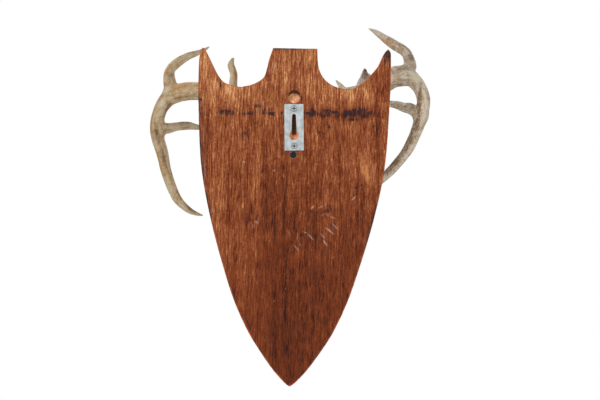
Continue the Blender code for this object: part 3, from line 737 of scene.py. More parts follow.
@dataclass(frozen=True)
class StainedWood:
    """Red-brown stain over open, upright grain, with edges rubbed paler and a painted highlight along the
    rounded rims, and the marks of use.
    """

    name: str = "stained_wood"
    specular: float = 0.13
    shades: tuple = (
        (0.00, colour(38, 16, 10)),
        (0.22, colour(98, 41, 14)),
        (0.45, colour(131, 63, 30)),
        (0.68, colour(168, 100, 60)),
        (0.86, colour(208, 142, 90)),
        (1.00, colour(226, 176, 126)),
    )
    dark_stain: tuple = colour(40, 31, 36)
    scuff: tuple = colour(186, 164, 158)
    # Lighter orange along the rims: stain rubbed through, and a painted highlight where the rounding catches
    # light.
    bare: tuple = colour(212, 138, 84)
    worn_and_lit_edge: tuple = colour(196, 100, 58)
    dark_tone: tuple = colour(52, 30, 26)
    top_tone: float = 0.585
    foot_tone: float = 0.275
    foot_contrast: float = 0.6
    top: float = 85 * MM
    foot: float = -350 * MM
    sway: Grain = Grain((14, 14, 5), 1)
    sway_reach: float = 9 * MM
    broad: Grain = Grain((105, 60, 5))
    streaks: Grain = Grain((400, 170, 30), 3, 0.6)
    fibres: Grain = Grain((840, 420, 80), 3, 0.65)
    mottle: Grain = Grain((80, 80, 46), 4, 0.65)
    speckle: Grain = Grain((640, 640, 330), 2, 0.6)
    pores: Grain = Grain((560, 300, 66), 1)
    rings: Grain = Grain((380, 120, 6), 1)
    flecks: Grain = Grain((470, 200, 60), 1)
    blotches: Grain = Grain((300, 300, 210))
    breaks: Grain = Grain((90, 90, 90))
    figure_weights: tuple = (0.42, 0.50, 1.25, 0.42, 0.60)
    light_weight: float = 1.35
    dark_weight: float = -1.3
    dirt_reach: float = 60 * MM
    dirt_weight: float = 1.6
    wall_grime: float = 0.45

    def build(self) -> bpy.types.Material:
        """Makes the material."""
        paint = Painter(self.name, 0.62, specular=self.specular)
        drift = paint.total((paint.noise(self.sway), self.sway_reach))
        drift = paint.step("ShaderNodeCombineXYZ", "Vector", {"X": drift})
        moved = paint.step("ShaderNodeVectorMath", "Vector", {0: paint.place, 1: drift}, operation="ADD")
        height = paint.step("ShaderNodeSeparateXYZ", "Z", {"Vector": paint.place})

        broad, streaks, fibres = (paint.noise(g, moved) for g in (self.broad, self.streaks, self.fibres))
        mottle, speckle = paint.noise(self.mottle), paint.noise(self.speckle)
        pores = paint.ramp(paint.noise(self.pores, moved), 0.60, 0.72)
        rings = paint.ramp(paint.noise(self.rings, moved), 0.57, 0.65)
        flecks = paint.ramp(paint.noise(self.flecks, moved), 0.60, 0.76)
        layers = [paint.calc("SUBTRACT", layer, 0.5) for layer in (broad, streaks, fibres, mottle, speckle)]
        grown = ((pores, -0.16), (rings, -0.14), (flecks, 0.13))
        figure = paint.total(*zip(layers, self.figure_weights), *grown)
        tone = paint.total(
            (paint.ramp(height, self.foot, self.top, self.foot_tone, self.top_tone, "LINEAR"), 1.0),
            (paint.marks(LIGHT_AREAS, "ADD"), self.light_weight),
            (paint.marks(DARK_AREAS, "ADD"), self.dark_weight),
            (paint.times(figure, paint.ramp(height, self.foot, 0.0, self.foot_contrast, 1.0)), 1.0),
        )
        paint.base = paint.shades(tone, self.shades)

        soak = paint.total((streaks, 0.8), (fibres, 0.9), (mottle, 1.0))
        bare = paint.times(paint.marks(BARE_SPOTS), paint.ramp(soak, 1.1, 1.5, 0.35, 1.4))
        paint.coat(self.bare, paint.ramp(bare, 0.06, 1.10, 0.0, 0.75))
        patchy = paint.total((soak, 1.0), (paint.noise(self.blotches), 0.7))
        stain = paint.times(paint.marks(DARK_STAINS), paint.ramp(patchy, 1.45, 1.95, 1.4, 0.2))
        paint.coat(self.dark_stain, paint.ramp(stain, 0.12, 0.62, 0.0, 0.88))
        scuff = paint.times(paint.marks(SCUFFS), paint.ramp(soak, 1.1, 1.5, 0.45, 1.25))
        paint.coat(self.scuff, paint.ramp(scuff, 0.10, 1.0, 0.0, 0.62))

        # The rims are painted a lighter orange: partly stain rubbed through by wear, partly a painted
        # highlight where the rounded edge catches light. Dirty stretches of edge get dark stain instead.
        edge = paint.attribute("rim")
        worn = paint.times(edge, paint.ramp(paint.noise(self.breaks), 0.40, 0.62, 0.05, 0.75))
        dirty = paint.times(paint.marks(DIRTY_EDGES, reach=self.dirt_reach), self.dirt_weight)
        dirty = paint.calc("MINIMUM", dirty, 1.0)
        paint.coat(self.worn_and_lit_edge, paint.times(worn, paint.calc("SUBTRACT", 1.0, dirty)))
        paint.coat(self.dark_stain, paint.times(dirty, paint.ramp(edge, 0.0, 0.7, 0.18, 0.75)))
        paint.coat(self.dark_tone, paint.attribute("wall"), self.wall_grime)
        relief = paint.total((streaks, 0.5), (fibres, 0.6), (pores, -0.5), (flecks, 0.15))
        paint.bump(relief, 0.35 * MM, 0.75)
        return paint.finish(paint.total((fibres, 0.25), (stain, 0.15), (scuff, 0.2), (0.48, 1.0)))


@dataclass(frozen=True)
class BoredWood:
    """Bare orange-tan wood inside the bores and the pocket, with painted shadow behind the slot and a
    painted shadow crescent at the top of the old hanging hole.
    """

    name: str = "bored_wood"
    grain: Grain = Grain((420, 420, 70), 3, 0.65)
    pale: tuple = colour(255, 205, 160)
    deep: tuple = colour(226, 148, 98)
    shadow: tuple = colour(50, 22, 12)
    slot_foot: float = -30 * MM
    slot_top: float = -26.5 * MM
    slot_half: float = 2.4 * MM
    slot_middle: float = -0.5 * MM
    pocket_top: float = 6 * MM
    slot_dark: float = 0.9
    lit_middle: float = 17.0 * MM
    lit_size: float = 10 * MM

    def build(self) -> bpy.types.Material:
        """Makes the material."""
        paint = Painter(self.name, 0.8)
        grain = paint.noise(self.grain)
        paint.base = paint.blend(paint.ramp(grain, 0.36, 0.64), self.deep, self.pale)
        place = {"Vector": paint.place}
        across, height = (paint.step("ShaderNodeSeparateXYZ", axis, place) for axis in "XZ")
        # Painted shadow in the pocket behind the upper slot, above the keyhole's entry.
        aside = paint.calc("ABSOLUTE", paint.calc("SUBTRACT", across, self.slot_middle))
        rises = paint.ramp(height, self.slot_foot, self.slot_top)
        rises = paint.times(rises, paint.ramp(aside, self.slot_half, 1.6 * self.slot_half, 1.0, 0.0))
        below = paint.ramp(height, self.pocket_top, self.pocket_top + 2 * MM, 1.0, 0.0)
        paint.coat(self.shadow, paint.times(rises, paint.times(below, self.slot_dark)))
        # A painted shadow crescent at the top of the hanging hole, outside a lit disc round its lower part.
        middle, sizes = Vector((0.0, 0.0, self.lit_middle)), (self.lit_size, 1.0, self.lit_size)
        crescent = paint.ramp(paint.spot(middle, Vector((1.0, 0.0, 0.0)), sizes), 0.10, 0.24, 0.93, 0.0)
        inside = paint.ramp(height, 2 * self.pocket_top, 2 * self.pocket_top + 1 * MM)
        paint.coat(self.shadow, paint.times(crescent, inside))
        paint.bump(grain, 0.3 * MM, 0.8)
        return paint.finish()


@dataclass(frozen=True)
class ZincSteel:
    """Dull, blue-grey zinc plating with faint upright brushing, and on the screws painted shade in the cross
    recess and a painted shadow ring round the head.
    """

    name: str = "zinc_plate"
    bright: tuple = colour(200, 208, 213)
    dull: tuple = colour(168, 174, 174)
    warm: tuple = colour(176, 172, 158)
    # Painted shade colour, laid into the screws' cross recesses and as a shadow ring round their heads.
    dark_tone: tuple = colour(34, 32, 32)
    roughness: float = 0.5
    metallic: float = 0.35
    brushing: Grain = Grain((1600, 1600, 60))
    clouds: Grain = Grain(120, 3, 0.6)
    stains: Grain = Grain((190, 190, 70))
    spangle: float = 420.0
    recess_shade: float = 0.9

    def build(self) -> bpy.types.Material:
        """Makes the material."""
        paint = Painter(self.name, self.roughness, self.metallic)
        brushed, clouds = paint.noise(self.brushing), paint.noise(self.clouds)
        spangle = paint.cells(self.spangle)
        paint.base = paint.blend(paint.ramp(clouds, 0.36, 0.66), self.dull, self.bright)
        paint.coat(self.warm, paint.ramp(paint.noise(self.stains), 0.54, 0.72, 0.0, 0.6))
        paint.coat(self.bright, paint.ramp(brushed, 0.4, 0.7, 0.0, 0.25))
        # Painted shade down into a screw's cross recess and a painted shadow ring at its head's rim.
        paint.coat(self.dark_tone, paint.attribute("sunk"), self.recess_shade)
        paint.bump(paint.total((brushed, 1.0), (spangle, 0.4)), 0.06 * MM, 0.7)
        return paint.finish(paint.total((clouds, 0.35), (spangle, 0.12), (0.26, 1.0)))


@dataclass(frozen=True)
class BlackSteel:
    """Black phosphate on a screw, rubbed paler in patches, with painted shade in its cross recess and a
    painted shadow ring round its head.
    """

    name: str = "black_steel"
    black: tuple = colour(20, 22, 29)
    rubbed: tuple = colour(58, 62, 70)
    # Painted shade colour for the cross recess and the ring round the head.
    dark_tone: tuple = colour(4, 4, 5)
    clouds: Grain = Grain(700, 3, 0.6)

    def build(self) -> bpy.types.Material:
        """Makes the material."""
        paint = Painter(self.name, 0.42, 0.2)
        clouds = paint.noise(self.clouds)
        paint.base = paint.blend(paint.ramp(clouds, 0.5, 0.75, 0.0, 0.5), self.black, self.rubbed)
        # Painted shade in the cross recess and a painted shadow ring at the head's rim.
        paint.coat(self.dark_tone, paint.attribute("sunk"))
        paint.bump(clouds, 0.05 * MM, 0.6)
        return paint.finish(paint.ramp(clouds, 0.3, 0.7, 0.32, 0.55))


@dataclass(frozen=True)
class AntlerFinish:
    """Dry antler: mottled and speckled, darker in its furrows and at its base, with smooth tips."""

    name: str
    ridge: tuple
    body: tuple
    furrow: tuple
    tip: tuple
    brown_areas: tuple[Mark, ...]
    pale_areas: tuple[Mark, ...]
    warm_areas: tuple[Mark, ...]
    brown: tuple = colour(114, 84, 54)
    ivory: tuple = colour(224, 212, 186)
    warm: tuple = colour(188, 130, 66)
    dirt: tuple = colour(84, 60, 38)
    dark_tip: tuple = colour(84, 58, 46)
    specular: float = 0.25
    depth: float = 270 * MM
    reach: float = 600 * MM
    clouds: Grain = Grain(38, 4, 0.6)
    mottle: Grain = Grain(150, 3, 0.65)
    speckle: Grain = Grain((620, 620, 260), 2, 0.6)
    streaks: Grain = Grain((260, 260, 26), 3, 0.6)

    def build(self) -> bpy.types.Material:
        """Makes the material."""
        paint = Painter(self.name, 0.56, specular=self.specular)
        along = paint.attribute("straight", "Vector")
        clouds, mottle = paint.noise(self.clouds), paint.noise(self.mottle)
        speckle, streaks = paint.noise(self.speckle, along), paint.noise(self.streaks, along)
        hollow, tip, dark = (paint.attribute(name) for name in ("hollow", "tip", "dark_tip"))
        tone = paint.total((clouds, 1.0), (mottle, 0.9), (speckle, 0.8), (streaks, 0.55), (hollow, 0.30))
        paint.base = paint.blend(paint.ramp(tone, 1.36, 1.72), self.ridge, self.body)
        paint.coat(self.furrow, paint.ramp(tone, 1.66, 2.16))
        broken = paint.ramp(paint.total((mottle, 1.0), (speckle, 0.7)), 0.68, 0.98, 0.6, 1.0)
        # Brown, pale and warm areas as listed; the pale areas of the left antler include a painted
        # highlight.
        areas = (self.brown_areas, self.pale_areas, self.warm_areas)
        for marks, shade in zip(areas, (self.brown, self.ivory, self.warm)):
            strength = paint.marks(marks, depth=self.depth, reach=self.reach)
            paint.coat(shade, paint.ramp(strength, 0.05, 0.75, 0.0, 0.85), broken)
        paint.coat(self.dirt, paint.ramp(hollow, 0.25, 0.9), 0.4)
        paint.coat(self.tip, tip, 0.35)
        paint.coat(self.dirt, paint.attribute("root"), 0.4)
        paint.coat(self.brown, paint.ramp(dark, 0.0, 0.3), broken)
        paint.coat(self.dark_tip, paint.ramp(dark, 0.62, 0.95, 0.0, 0.85))
        paint.bump(paint.total((streaks, 0.6), (speckle, 0.5)), 0.3 * MM, 0.6)
        return paint.finish(paint.total((streaks, 0.3), (tip, -0.14), (0.46, 1.0)))


@dataclass(frozen=True)
class Bone:
    """Clean, dry skull bone, off-white with brown in its seams and hollows."""

    name: str = "skull_bone"
    pale: tuple = colour(232, 222, 200)
    warm: tuple = colour(212, 192, 156)
    stain: tuple = colour(170, 140, 100)
    dirt: tuple = colour(98, 74, 50)
    # Painted shadow colour for deep in the nasal cavity and the eye sockets.
    shade: tuple = colour(82, 60, 40)
    specular: float = 0.35
    clouds: Grain = Grain(26, 4, 0.6)
    fine: Grain = Grain(420, 3, 0.6)
    streaks: Grain = Grain((260, 200, 40))
    pores: float = 520.0

    def build(self) -> bpy.types.Material:
        """Makes the material."""
        paint = Painter(self.name, 0.6, specular=self.specular)
        clouds, fine, streaks = (paint.noise(grain) for grain in (self.clouds, self.fine, self.streaks))
        pores = paint.ramp(paint.cells(self.pores), 0.05, 0.28, 1.0, 0.0)
        hollow = paint.attribute("hollow")
        paint.base = paint.blend(paint.ramp(clouds, 0.36, 0.66), self.pale, self.warm)
        paint.coat(self.stain, paint.ramp(hollow, 0.02, 0.5, 0.0, 0.55))
        paint.coat(self.dirt, paint.ramp(hollow, 0.4, 1.0, 0.0, 0.75))
        paint.coat(self.dirt, paint.attribute("seam"), 0.8)
        # Painted shadow deep in the nasal cavity and the eye sockets.
        paint.coat(self.shade, paint.attribute("cavity"), 0.9)
        paint.coat(self.stain, paint.attribute("grease"), paint.ramp(clouds, 0.3, 0.7, 0.2, 0.75))
        paint.coat(self.stain, pores, paint.ramp(clouds, 0.45, 0.65, 0.05, 0.5))
        paint.bump(paint.total((fine, 0.5), (streaks, 0.4), (pores, -0.5)), 0.25 * MM, 0.6)
        return paint.finish(paint.total((fine, 0.2), (clouds, 0.2), (0.4, 1.0)))


@dataclass(frozen=True)
class Enamel:
    """Tooth enamel, ivory on the crowns with brown tartar near the gum."""

    name: str = "tooth_enamel"
    ivory: tuple = colour(226, 214, 182)
    tartar: tuple = colour(112, 82, 50)
    clouds: Grain = Grain(240, 3, 0.6)

    def build(self) -> bpy.types.Material:
        """Makes the material."""
        paint = Painter(self.name, 0.35)
        clouds = paint.noise(self.clouds)
        brown = paint.total((paint.attribute("gum"), 0.9), (clouds, 0.7))
        paint.base = paint.blend(paint.ramp(brown, 0.45, 1.1), self.ivory, self.tartar)
        paint.bump(clouds, 0.2 * MM, 0.5)
        return paint.finish()


@dataclass
class ShieldBoard:
    """The hand-sawn board with its rounded front edge, bores and the pocket behind the keyhole."""

    node: str = "shield_board"
    step: float = 1.8 * MM
    back_round: float = 0.8 * MM
    front_round: float = 2.5 * MM
    corner_turn: float = math.radians(38.0)
    inset: float = 1.5 * MM
    wall_reach: float = 5.0 * MM
    rough_saw: float = 0.16 * MM
    chip: float = 0.9 * MM
    pocket_depth: float = 8.0 * MM
    pocket_radius: float = 6.5 * MM
    nail_hole_size: float = 16.0 * MM
    nail_hole_depth: float = 9.0 * MM
    nail_hole_slope: float = math.radians(22.0)
    nail_hole_height: float = 20.63 * MM
    clearance: float = 0.3 * MM
    back_steps: int = 3
    wall_steps: int = 6
    front_steps: int = 5
    wall_roughness: float = 0.6
    front_roughness: float = 0.8
    room_share: float = 0.8
    saw_marks: Band = (420.0, 1100.0)
    fine_share: float = 0.6
    chip_marks: tuple = (150.0, 300.0, 150.0)
    chip_band: Band = (0.55, 0.8)
    chip_reach: float = 2.6 * MM
    rim_ends: Band = (0.2 * MM, 1.5 * MM)
    rim_depths: Band = (2 * MM, 3 * MM)
    front_rim_share: float = 0.5
    wall_band: Band = (0.6 * MM, 2.5 * MM)
    bored_depth: float = 0.02 * MM
    arc_steps: int = 24
    overshoot: float = 5 * MM
    low: Vector = field(init=False)
    high: Vector = field(init=False)

    def __post_init__(self) -> None:
        """Reads the solid's box."""
        self.low, self.high = corners(self.node)

    def sawn_outline(self) -> list[tuple[float, float]]:
        """Reads the outline from the solid's side wall and draws it finer, its corners kept.

        Returns:
            Points as (x, z), once round.
        """
        copy = frame["nodes"][self.node].copy()
        copy.data = copy.data.copy()
        bpy.context.scene.collection.objects.link(copy)
        weld(copy, 0.02 * MM)
        mesh = copy.data
        level = self.low.y + self.front_round
        near = {v.index for v in mesh.vertices if abs(v.co.y - level) < 0.05 * MM}
        links: dict[int, list[int]] = {index: [] for index in near}
        for edge in mesh.edges:
            one, two = edge.vertices
            if one in near and two in near:
                links[one].append(two)
                links[two].append(one)
        start = max(near, key=lambda index: (mesh.vertices[index].co.z, mesh.vertices[index].co.x))
        ring = [start]
        while True:
            onward = [index for index in links[ring[-1]] if index not in ring[-2:] and index != start]
            onward = [index for index in onward if len(ring) < 3 or index not in ring]
            if not onward:
                break
            ring.append(onward[0])
        line = [Vector((mesh.vertices[i].co.x, mesh.vertices[i].co.z)) for i in ring]
        bpy.data.objects.remove(copy)
        return self.finer(line)

    def finer(self, ring: list[Vector]) -> list[tuple[float, float]]:
        """Draws a smooth line through a ring of points, stopping at each sharp corner."""
        count = len(ring)
        sharp = []
        for i in range(count):
            before, after = ring[i] - ring[i - 1], ring[(i + 1) % count] - ring[i]
            if before.angle(after) > self.corner_turn:
                sharp.append(i)
        line: list[tuple[float, float]] = []
        for first, last in zip(sharp, sharp[1:] + [sharp[0] + count]):
            run = np.array([[*ring[i % count], 0.0] for i in range(first, last + 1)])
            rows = smooth_line(run, self.step)
            line += [(float(x), float(z)) for x, z, _ in rows[:-1]]
        return line

    def build(self, wood: StainedWood, bore: BoredWood) -> bpy.types.Object:
        """Makes the board and puts it on the frame."""
        outline = np.array(self.sawn_outline())
        board = self.block(outline)
        for material in (wood.build(), bore.build()):
            board.data.materials.append(material)
        for cutter in self.bores():
            carve(board, cutter)
        self.note_edges(board.data, outline)
        hand_over(board, "stained_shield_board", self.node, "stained_board_wood", crease=30.0)
        return board

    def inward(self, outline: np.ndarray) -> np.ndarray:
        """The step inwards at each point of the outline, shorter where the board is too narrow for it."""
        before = outline - np.roll(outline, 1, axis=0)
        after = np.roll(outline, -1, axis=0) - outline
        area = np.sum(before[:, 0] * outline[:, 1] - before[:, 1] * outline[:, 0])
        turn = 1.0 if area < 0 else -1.0
        ways = sum(way / np.linalg.norm(way, axis=1)[:, None] for way in (before, after))
        steps = np.stack([-ways[:, 1], ways[:, 0]], axis=1) * turn
        steps /= np.linalg.norm(steps, axis=1)[:, None]
        apart = outline[None, :, :] - outline[:, None, :]
        depth = np.einsum("ijk,ik->ij", apart, steps)
        reach = np.sum(apart**2, axis=2) / np.maximum(2 * depth, 1e-9)
        room = np.min(np.where(depth > 1e-6, reach, 1.0), axis=1)
        room = np.minimum(room, np.minimum(np.roll(room, 1), np.roll(room, -1)))
        widest = self.front_round + self.inset
        return steps * np.minimum(1.0, self.room_share * room / widest)[:, None]

    def profile(self) -> list[tuple[float, float, float]]:
        """The edge's profile from the back to the front, as (inset, y, how rough it is)."""
        high, low = self.high.y, self.low.y
        rings = [(self.back_round + self.inset, high, 0.0)]
        for i in range(self.back_steps + 1):
            angle = math.radians(90.0 / self.back_steps * i)
            drop = self.back_round * (1 - math.cos(angle))
            rings.append((self.back_round * (1 - math.sin(angle)), high - drop, 1.0))
        wall = self.low.y + self.front_round - (high - self.back_round)
        for i in range(1, self.wall_steps):
            level = high - self.back_round + wall * i / self.wall_steps
            rings.append((0.0, level, self.wall_roughness))
        for i in range(self.front_steps + 1):
            angle = math.radians(90.0 / self.front_steps * i)
            rise = self.front_round * (1 - math.sin(angle))
            rings.append((self.front_round * (1 - math.cos(angle)), low + rise, self.front_roughness))
        rings.append((self.front_round + self.inset, low, 0.0))
        return rings

    def block(self, outline: np.ndarray) -> bpy.types.Object:
        """The board without its bores: rings round its edge, with saw marks and a few chips."""
        steps = self.inward(outline)
        coarse, fine = self.saw_marks
        points = []
        for inset, level, roughness in self.profile():
            places = np.stack([outline[:, 0], np.full(len(outline), level), outline[:, 1]], axis=1)
            rough = np.abs(roughly(places * coarse, 11) + self.fine_share * roughly(places * fine, 12))
            chips = stepped(roughly(places * np.array(self.chip_marks), 13), *self.chip_band)
            near_face = min(self.high.y - level, level - self.low.y) < self.chip_reach
            moved = inset + roughness * (self.rough_saw * rough + self.chip * chips * near_face)
            points += [(x, level, z) for x, z in outline + steps * moved[:, None]]
        piece = ringed("board", points, len(outline))
        weld(piece, 0.001 * MM)
        return piece

    def note_edges(self, mesh: bpy.types.Mesh, outline: np.ndarray) -> None:
        """Notes how near each point is to the rounded rims, which carry wear and a painted highlight, what
        is side wall and which faces are bored.
        """
        places = points_of(mesh)
        flat = places[:, [0, 2]]
        nearest = np.full(len(places), 1.0)
        for start, end in zip(outline, np.roll(outline, -1, axis=0)):
            nearest = np.minimum(nearest, np.linalg.norm(from_run(flat, start, end)[1], axis=1))
        below, above = self.high.y - places[:, 1], places[:, 1] - self.low.y
        rims = zip((self.back_round, self.front_round), self.rim_ends, (below, above), self.rim_depths)
        back, front = (stepped(nearest, self.inset + r, end) * (off < most) for r, end, off, most in rims)
        carry(mesh, "rim", np.maximum(back, self.front_rim_share * front))
        depth = np.minimum(below, above)
        carry(mesh, "wall", stepped(depth, *self.wall_band) * (nearest < self.wall_reach))
        inside = nearest > self.wall_reach
        for face in mesh.polygons:
            level = face.center.y
            bored = min(self.high.y - level, level - self.low.y) > self.bored_depth
            face.material_index = int(bored and inside[face.vertices[0]])

    def bores(self) -> list[bpy.types.Object]:
        """Makes the cutters of the pocket, the old hanging hole and the screw holes."""
        turn = Matrix.Rotation(KeyholePlate.turn, 3, "Y")
        radius = self.pocket_radius
        top, foot = KeyholePlate.slot_top - radius, KeyholePlate.keyhole_height
        arc = [math.pi * i / self.arc_steps for i in range(self.arc_steps + 1)]
        outline = [(radius * math.cos(a), top + radius * math.sin(a)) for a in arc]
        outline += [(-radius * math.cos(a), foot - radius * math.sin(a)) for a in arc]
        placed = [turn @ Vector((x, 0.0, z)) for x, z in outline]
        back = self.high.y
        ends = (back + self.overshoot, back - self.pocket_depth)
        pocket = sheet_piece("pocket", [(p.x, p.z) for p in placed], *ends)
        nail = Vector((0.0, back, self.nail_hole_height))
        size, depth = self.nail_hole_size, 2 * self.nail_hole_depth
        cutters = [pocket, pin("nail_hole", nail, size, depth, self.nail_hole_slope)]
        plate_face = corners("keyhole_plate")[1].y
        for node in ("plate_screw_upper", "plate_screw_lower", "skull_screw"):
            screw = Screw(node, "hole", grow=self.clearance)
            cutters.append(screw.blank(above=plate_face + 1 * MM - corners(node)[1].y))
        return cutters


@dataclass
class Screw:
    """A countersunk wood screw with a cross recess, its head towards the wall."""

    node: str
    name: str
    land: float = 0.3 * MM
    edge: float = 0.22 * MM
    cross_reach: float = 0.70
    cross_width: float = 0.20
    cross_depth: float = 1.3 * MM
    cross_taper: float = 0.8
    point: float = 0.12
    shank_share: float = 3.4 / 7.8
    long_shank_share: float = 3.9 / 8.8
    sunk_band: Band = (0.1 * MM, 0.7 * MM)
    rim_band: Band = (0.25 * MM, 0.05 * MM)
    grow: float = 0.0
    sides: int = 48
    head: float = field(init=False)
    shank: float = field(init=False)
    length: float = field(init=False)
    place: Vector = field(init=False)

    def __post_init__(self) -> None:
        """Takes its sizes and its place from the solid's box."""
        low, high = corners(self.node)
        self.head = high.x - low.x
        share = self.long_shank_share if self.node == "skull_screw" else self.shank_share
        self.shank = self.head * share
        self.length = high.y - low.y
        self.place = Vector(((low.x + high.x) / 2, high.y, (low.z + high.z) / 2))

    def blank(self, above: float = 0.0) -> bpy.types.Object:
        """The turned screw without its recess, or the cutter for its hole."""
        head, shank = self.head / 2 + self.grow, self.shank / 2 + self.grow
        cone = (self.head - self.shank) / 2
        sizes = {"vertices": self.sides, "radius": head}
        piece = primitive(bpy.ops.mesh.primitive_circle_add, self.name, fill_type="NGON", **sizes)
        steps = (
            (self.land + above, 1.0),
            (cone, shank / head),
            (self.length - self.shank - cone - self.land + self.grow, 1.0),
            (self.shank, self.point),
        )
        with editing(piece):
            for drop, share in steps:
                bpy.ops.mesh.extrude_region_move(TRANSFORM_OT_translate={"value": (0.0, 0.0, -drop)})
                if share != 1.0:
                    bpy.ops.transform.resize(value=(share, share, 1.0))
        weld(piece)
        piece.rotation_euler = (-math.pi / 2, 0.0, 0.0)
        piece.location = self.place + Vector((0.0, above, 0.0))
        settle(piece)
        return piece

    def recess(self) -> bpy.types.Object:
        """The cutter of the cross recess: two crossed bars that narrow inwards."""
        bars = []
        for number in range(2):
            arm = primitive(bpy.ops.mesh.primitive_cube_add, "arm", size=1.0)
            arm.scale = (self.cross_reach * self.head, 2 * self.cross_depth, self.cross_width * self.head)
            arm.rotation_euler = (0.0, math.pi / 2 * number, 0.0)
            settle(arm)
            for vertex in arm.data.vertices:
                if vertex.co.y < 0:
                    vertex.co.x *= self.cross_taper
                    vertex.co.z *= self.cross_taper
            bars.append(arm)
        apply_modifier(bars[0], "BOOLEAN", operation="UNION", object=bars[1])
        bpy.data.objects.remove(bars[1])
        bars[0].location = self.place
        settle(bars[0])
        return bars[0]

    def build(self, steel: bpy.types.Material, slot: str) -> bpy.types.Object:
        """Makes the screw and puts it on the frame."""
        piece = self.blank()
        limit = math.radians(40.0)
        apply_modifier(piece, "BEVEL", width=self.edge, segments=2, limit_method="ANGLE", angle_limit=limit)
        carve(piece, self.recess())
        # Where painted shade goes: deeper into the cross recess, and a thin painted shadow ring at the
        # head's rim.
        off = points_of(piece.data) - np.array(self.place)
        sunk = stepped(-off[:, 1], *self.sunk_band)
        aside = np.hypot(off[:, 0], off[:, 2])
        rim = stepped(aside, *(self.head / 2 - inset for inset in self.rim_band))
        carry(piece.data, "sunk", np.maximum(sunk, rim))
        hand_over(piece, self.name, self.node, slot, steel, crease=32.0)
        return piece


@dataclass
class KeyholePlate:
    """The surface-mounted zinc plate with its tapering slot, round entry and two countersunk holes."""

    node: str = "keyhole_plate"
    width: float = 24.5 * MM
    thickness: float = 1.5 * MM
    top: float = 11.0 * MM
    foot: float = -48.0 * MM
    turn: float = math.radians(1.3)
    slot_top: float = -1.5 * MM
    slot_top_width: float = 4.8 * MM
    slot_foot_width: float = 6.6 * MM
    keyhole_height: float = -28.7 * MM
    keyhole_size: float = 12.2 * MM
    edge: float = 0.3 * MM
    corner: float = 0.6 * MM
    clearance: float = 0.25 * MM
    entry_steps: int = 48
    slot_steps: int = 16

    def keyhole(self) -> list[tuple[float, float]]:
        """The keyhole's outline, from one foot of the slot round its entry and over its top."""
        radius = self.keyhole_size / 2
        gap = math.asin(self.slot_foot_width / self.keyhole_size)
        sweep = math.pi - gap
        outline = []
        for i in range(self.entry_steps + 1):
            angle = -sweep + 2 * sweep * i / self.entry_steps
            outline.append((radius * math.sin(angle), self.keyhole_height - radius * math.cos(angle)))
        small = self.slot_top_width / 2
        for i in range(self.slot_steps + 1):
            angle = math.pi * i / self.slot_steps
            outline.append((small * math.cos(angle), self.slot_top - small + small * math.sin(angle)))
        return outline

    def build(self, zinc: bpy.types.Material) -> bpy.types.Object:
        """Makes the plate and puts it on the frame."""
        middle = (0.0, -self.thickness / 2, (self.top + self.foot) / 2)
        plate = primitive(bpy.ops.mesh.primitive_cube_add, "plate", size=1.0, location=middle)
        plate.scale = (self.width, self.thickness, self.top - self.foot)
        settle(plate)
        with editing(plate):
            bpy.ops.mesh.select_mode(type="EDGE")
            bpy.ops.mesh.select_all(action="DESELECT")
        for edge in plate.data.edges:
            one, two = (plate.data.vertices[i].co for i in edge.vertices)
            edge.select = abs(one.y - two.y) > self.thickness / 2
        bpy.ops.object.mode_set(mode="EDIT")
        bpy.ops.mesh.bevel(offset=self.corner, segments=4)
        bpy.ops.object.mode_set(mode="OBJECT")
        carve(plate, sheet_piece("keyhole", self.keyhole(), self.thickness, -2 * self.thickness))
        plate.rotation_euler = (0.0, self.turn, 0.0)
        settle(plate)
        limit = math.radians(60.0)
        apply_modifier(plate, "BEVEL", width=self.edge, segments=3, limit_method="ANGLE", angle_limit=limit)
        for node in ("plate_screw_upper", "plate_screw_lower"):
            carve(plate, Screw(node, "countersink", grow=self.clearance).blank(above=1 * MM))
        hand_over(plate, "zinc_keyhole_plate", self.node, "zinc_plated_steel", zinc, crease=40.0)
        return plate


@dataclass(frozen=True)
class SkullPlace:
    """Where the skull's drawing stands: its origin is the foot of the skull on the screw's axis.

    A point of the drawing is (distance from the nose, side, height) in millimetres.
    """

    station: float = 149.325
    turn: float = math.radians(2.0)
    gap: float = 0.3 * MM

    def matrix(self) -> Matrix:
        """The step from the skull's own axes to the frame's."""
        low, high = corners("skull_screw")
        front = corners("shield_board")[0].y - self.gap
        return Matrix.Translation((0.0, front, (low.z + high.z) / 2)) @ Matrix.Rotation(self.turn, 4, "Y")

    def local(self, row: tuple, side: int = 1) -> list[float]:
        """A drawn row in the skull's own axes, in metres, with what follows the place kept to scale."""
        distance, across, height, *rest = row
        sizes = [value * MM for value in rest]
        return [side * across * MM, -height * MM, (distance - self.station) * MM, *sizes]


PLACE = SkullPlace()


@dataclass(frozen=True)
class Tine:
    """One tine: rows of (outwards, off the wall, towards the crown, radius) from the burr, and its tip."""

    rows: tuple
    tip: Tip = Tip.POLISHED


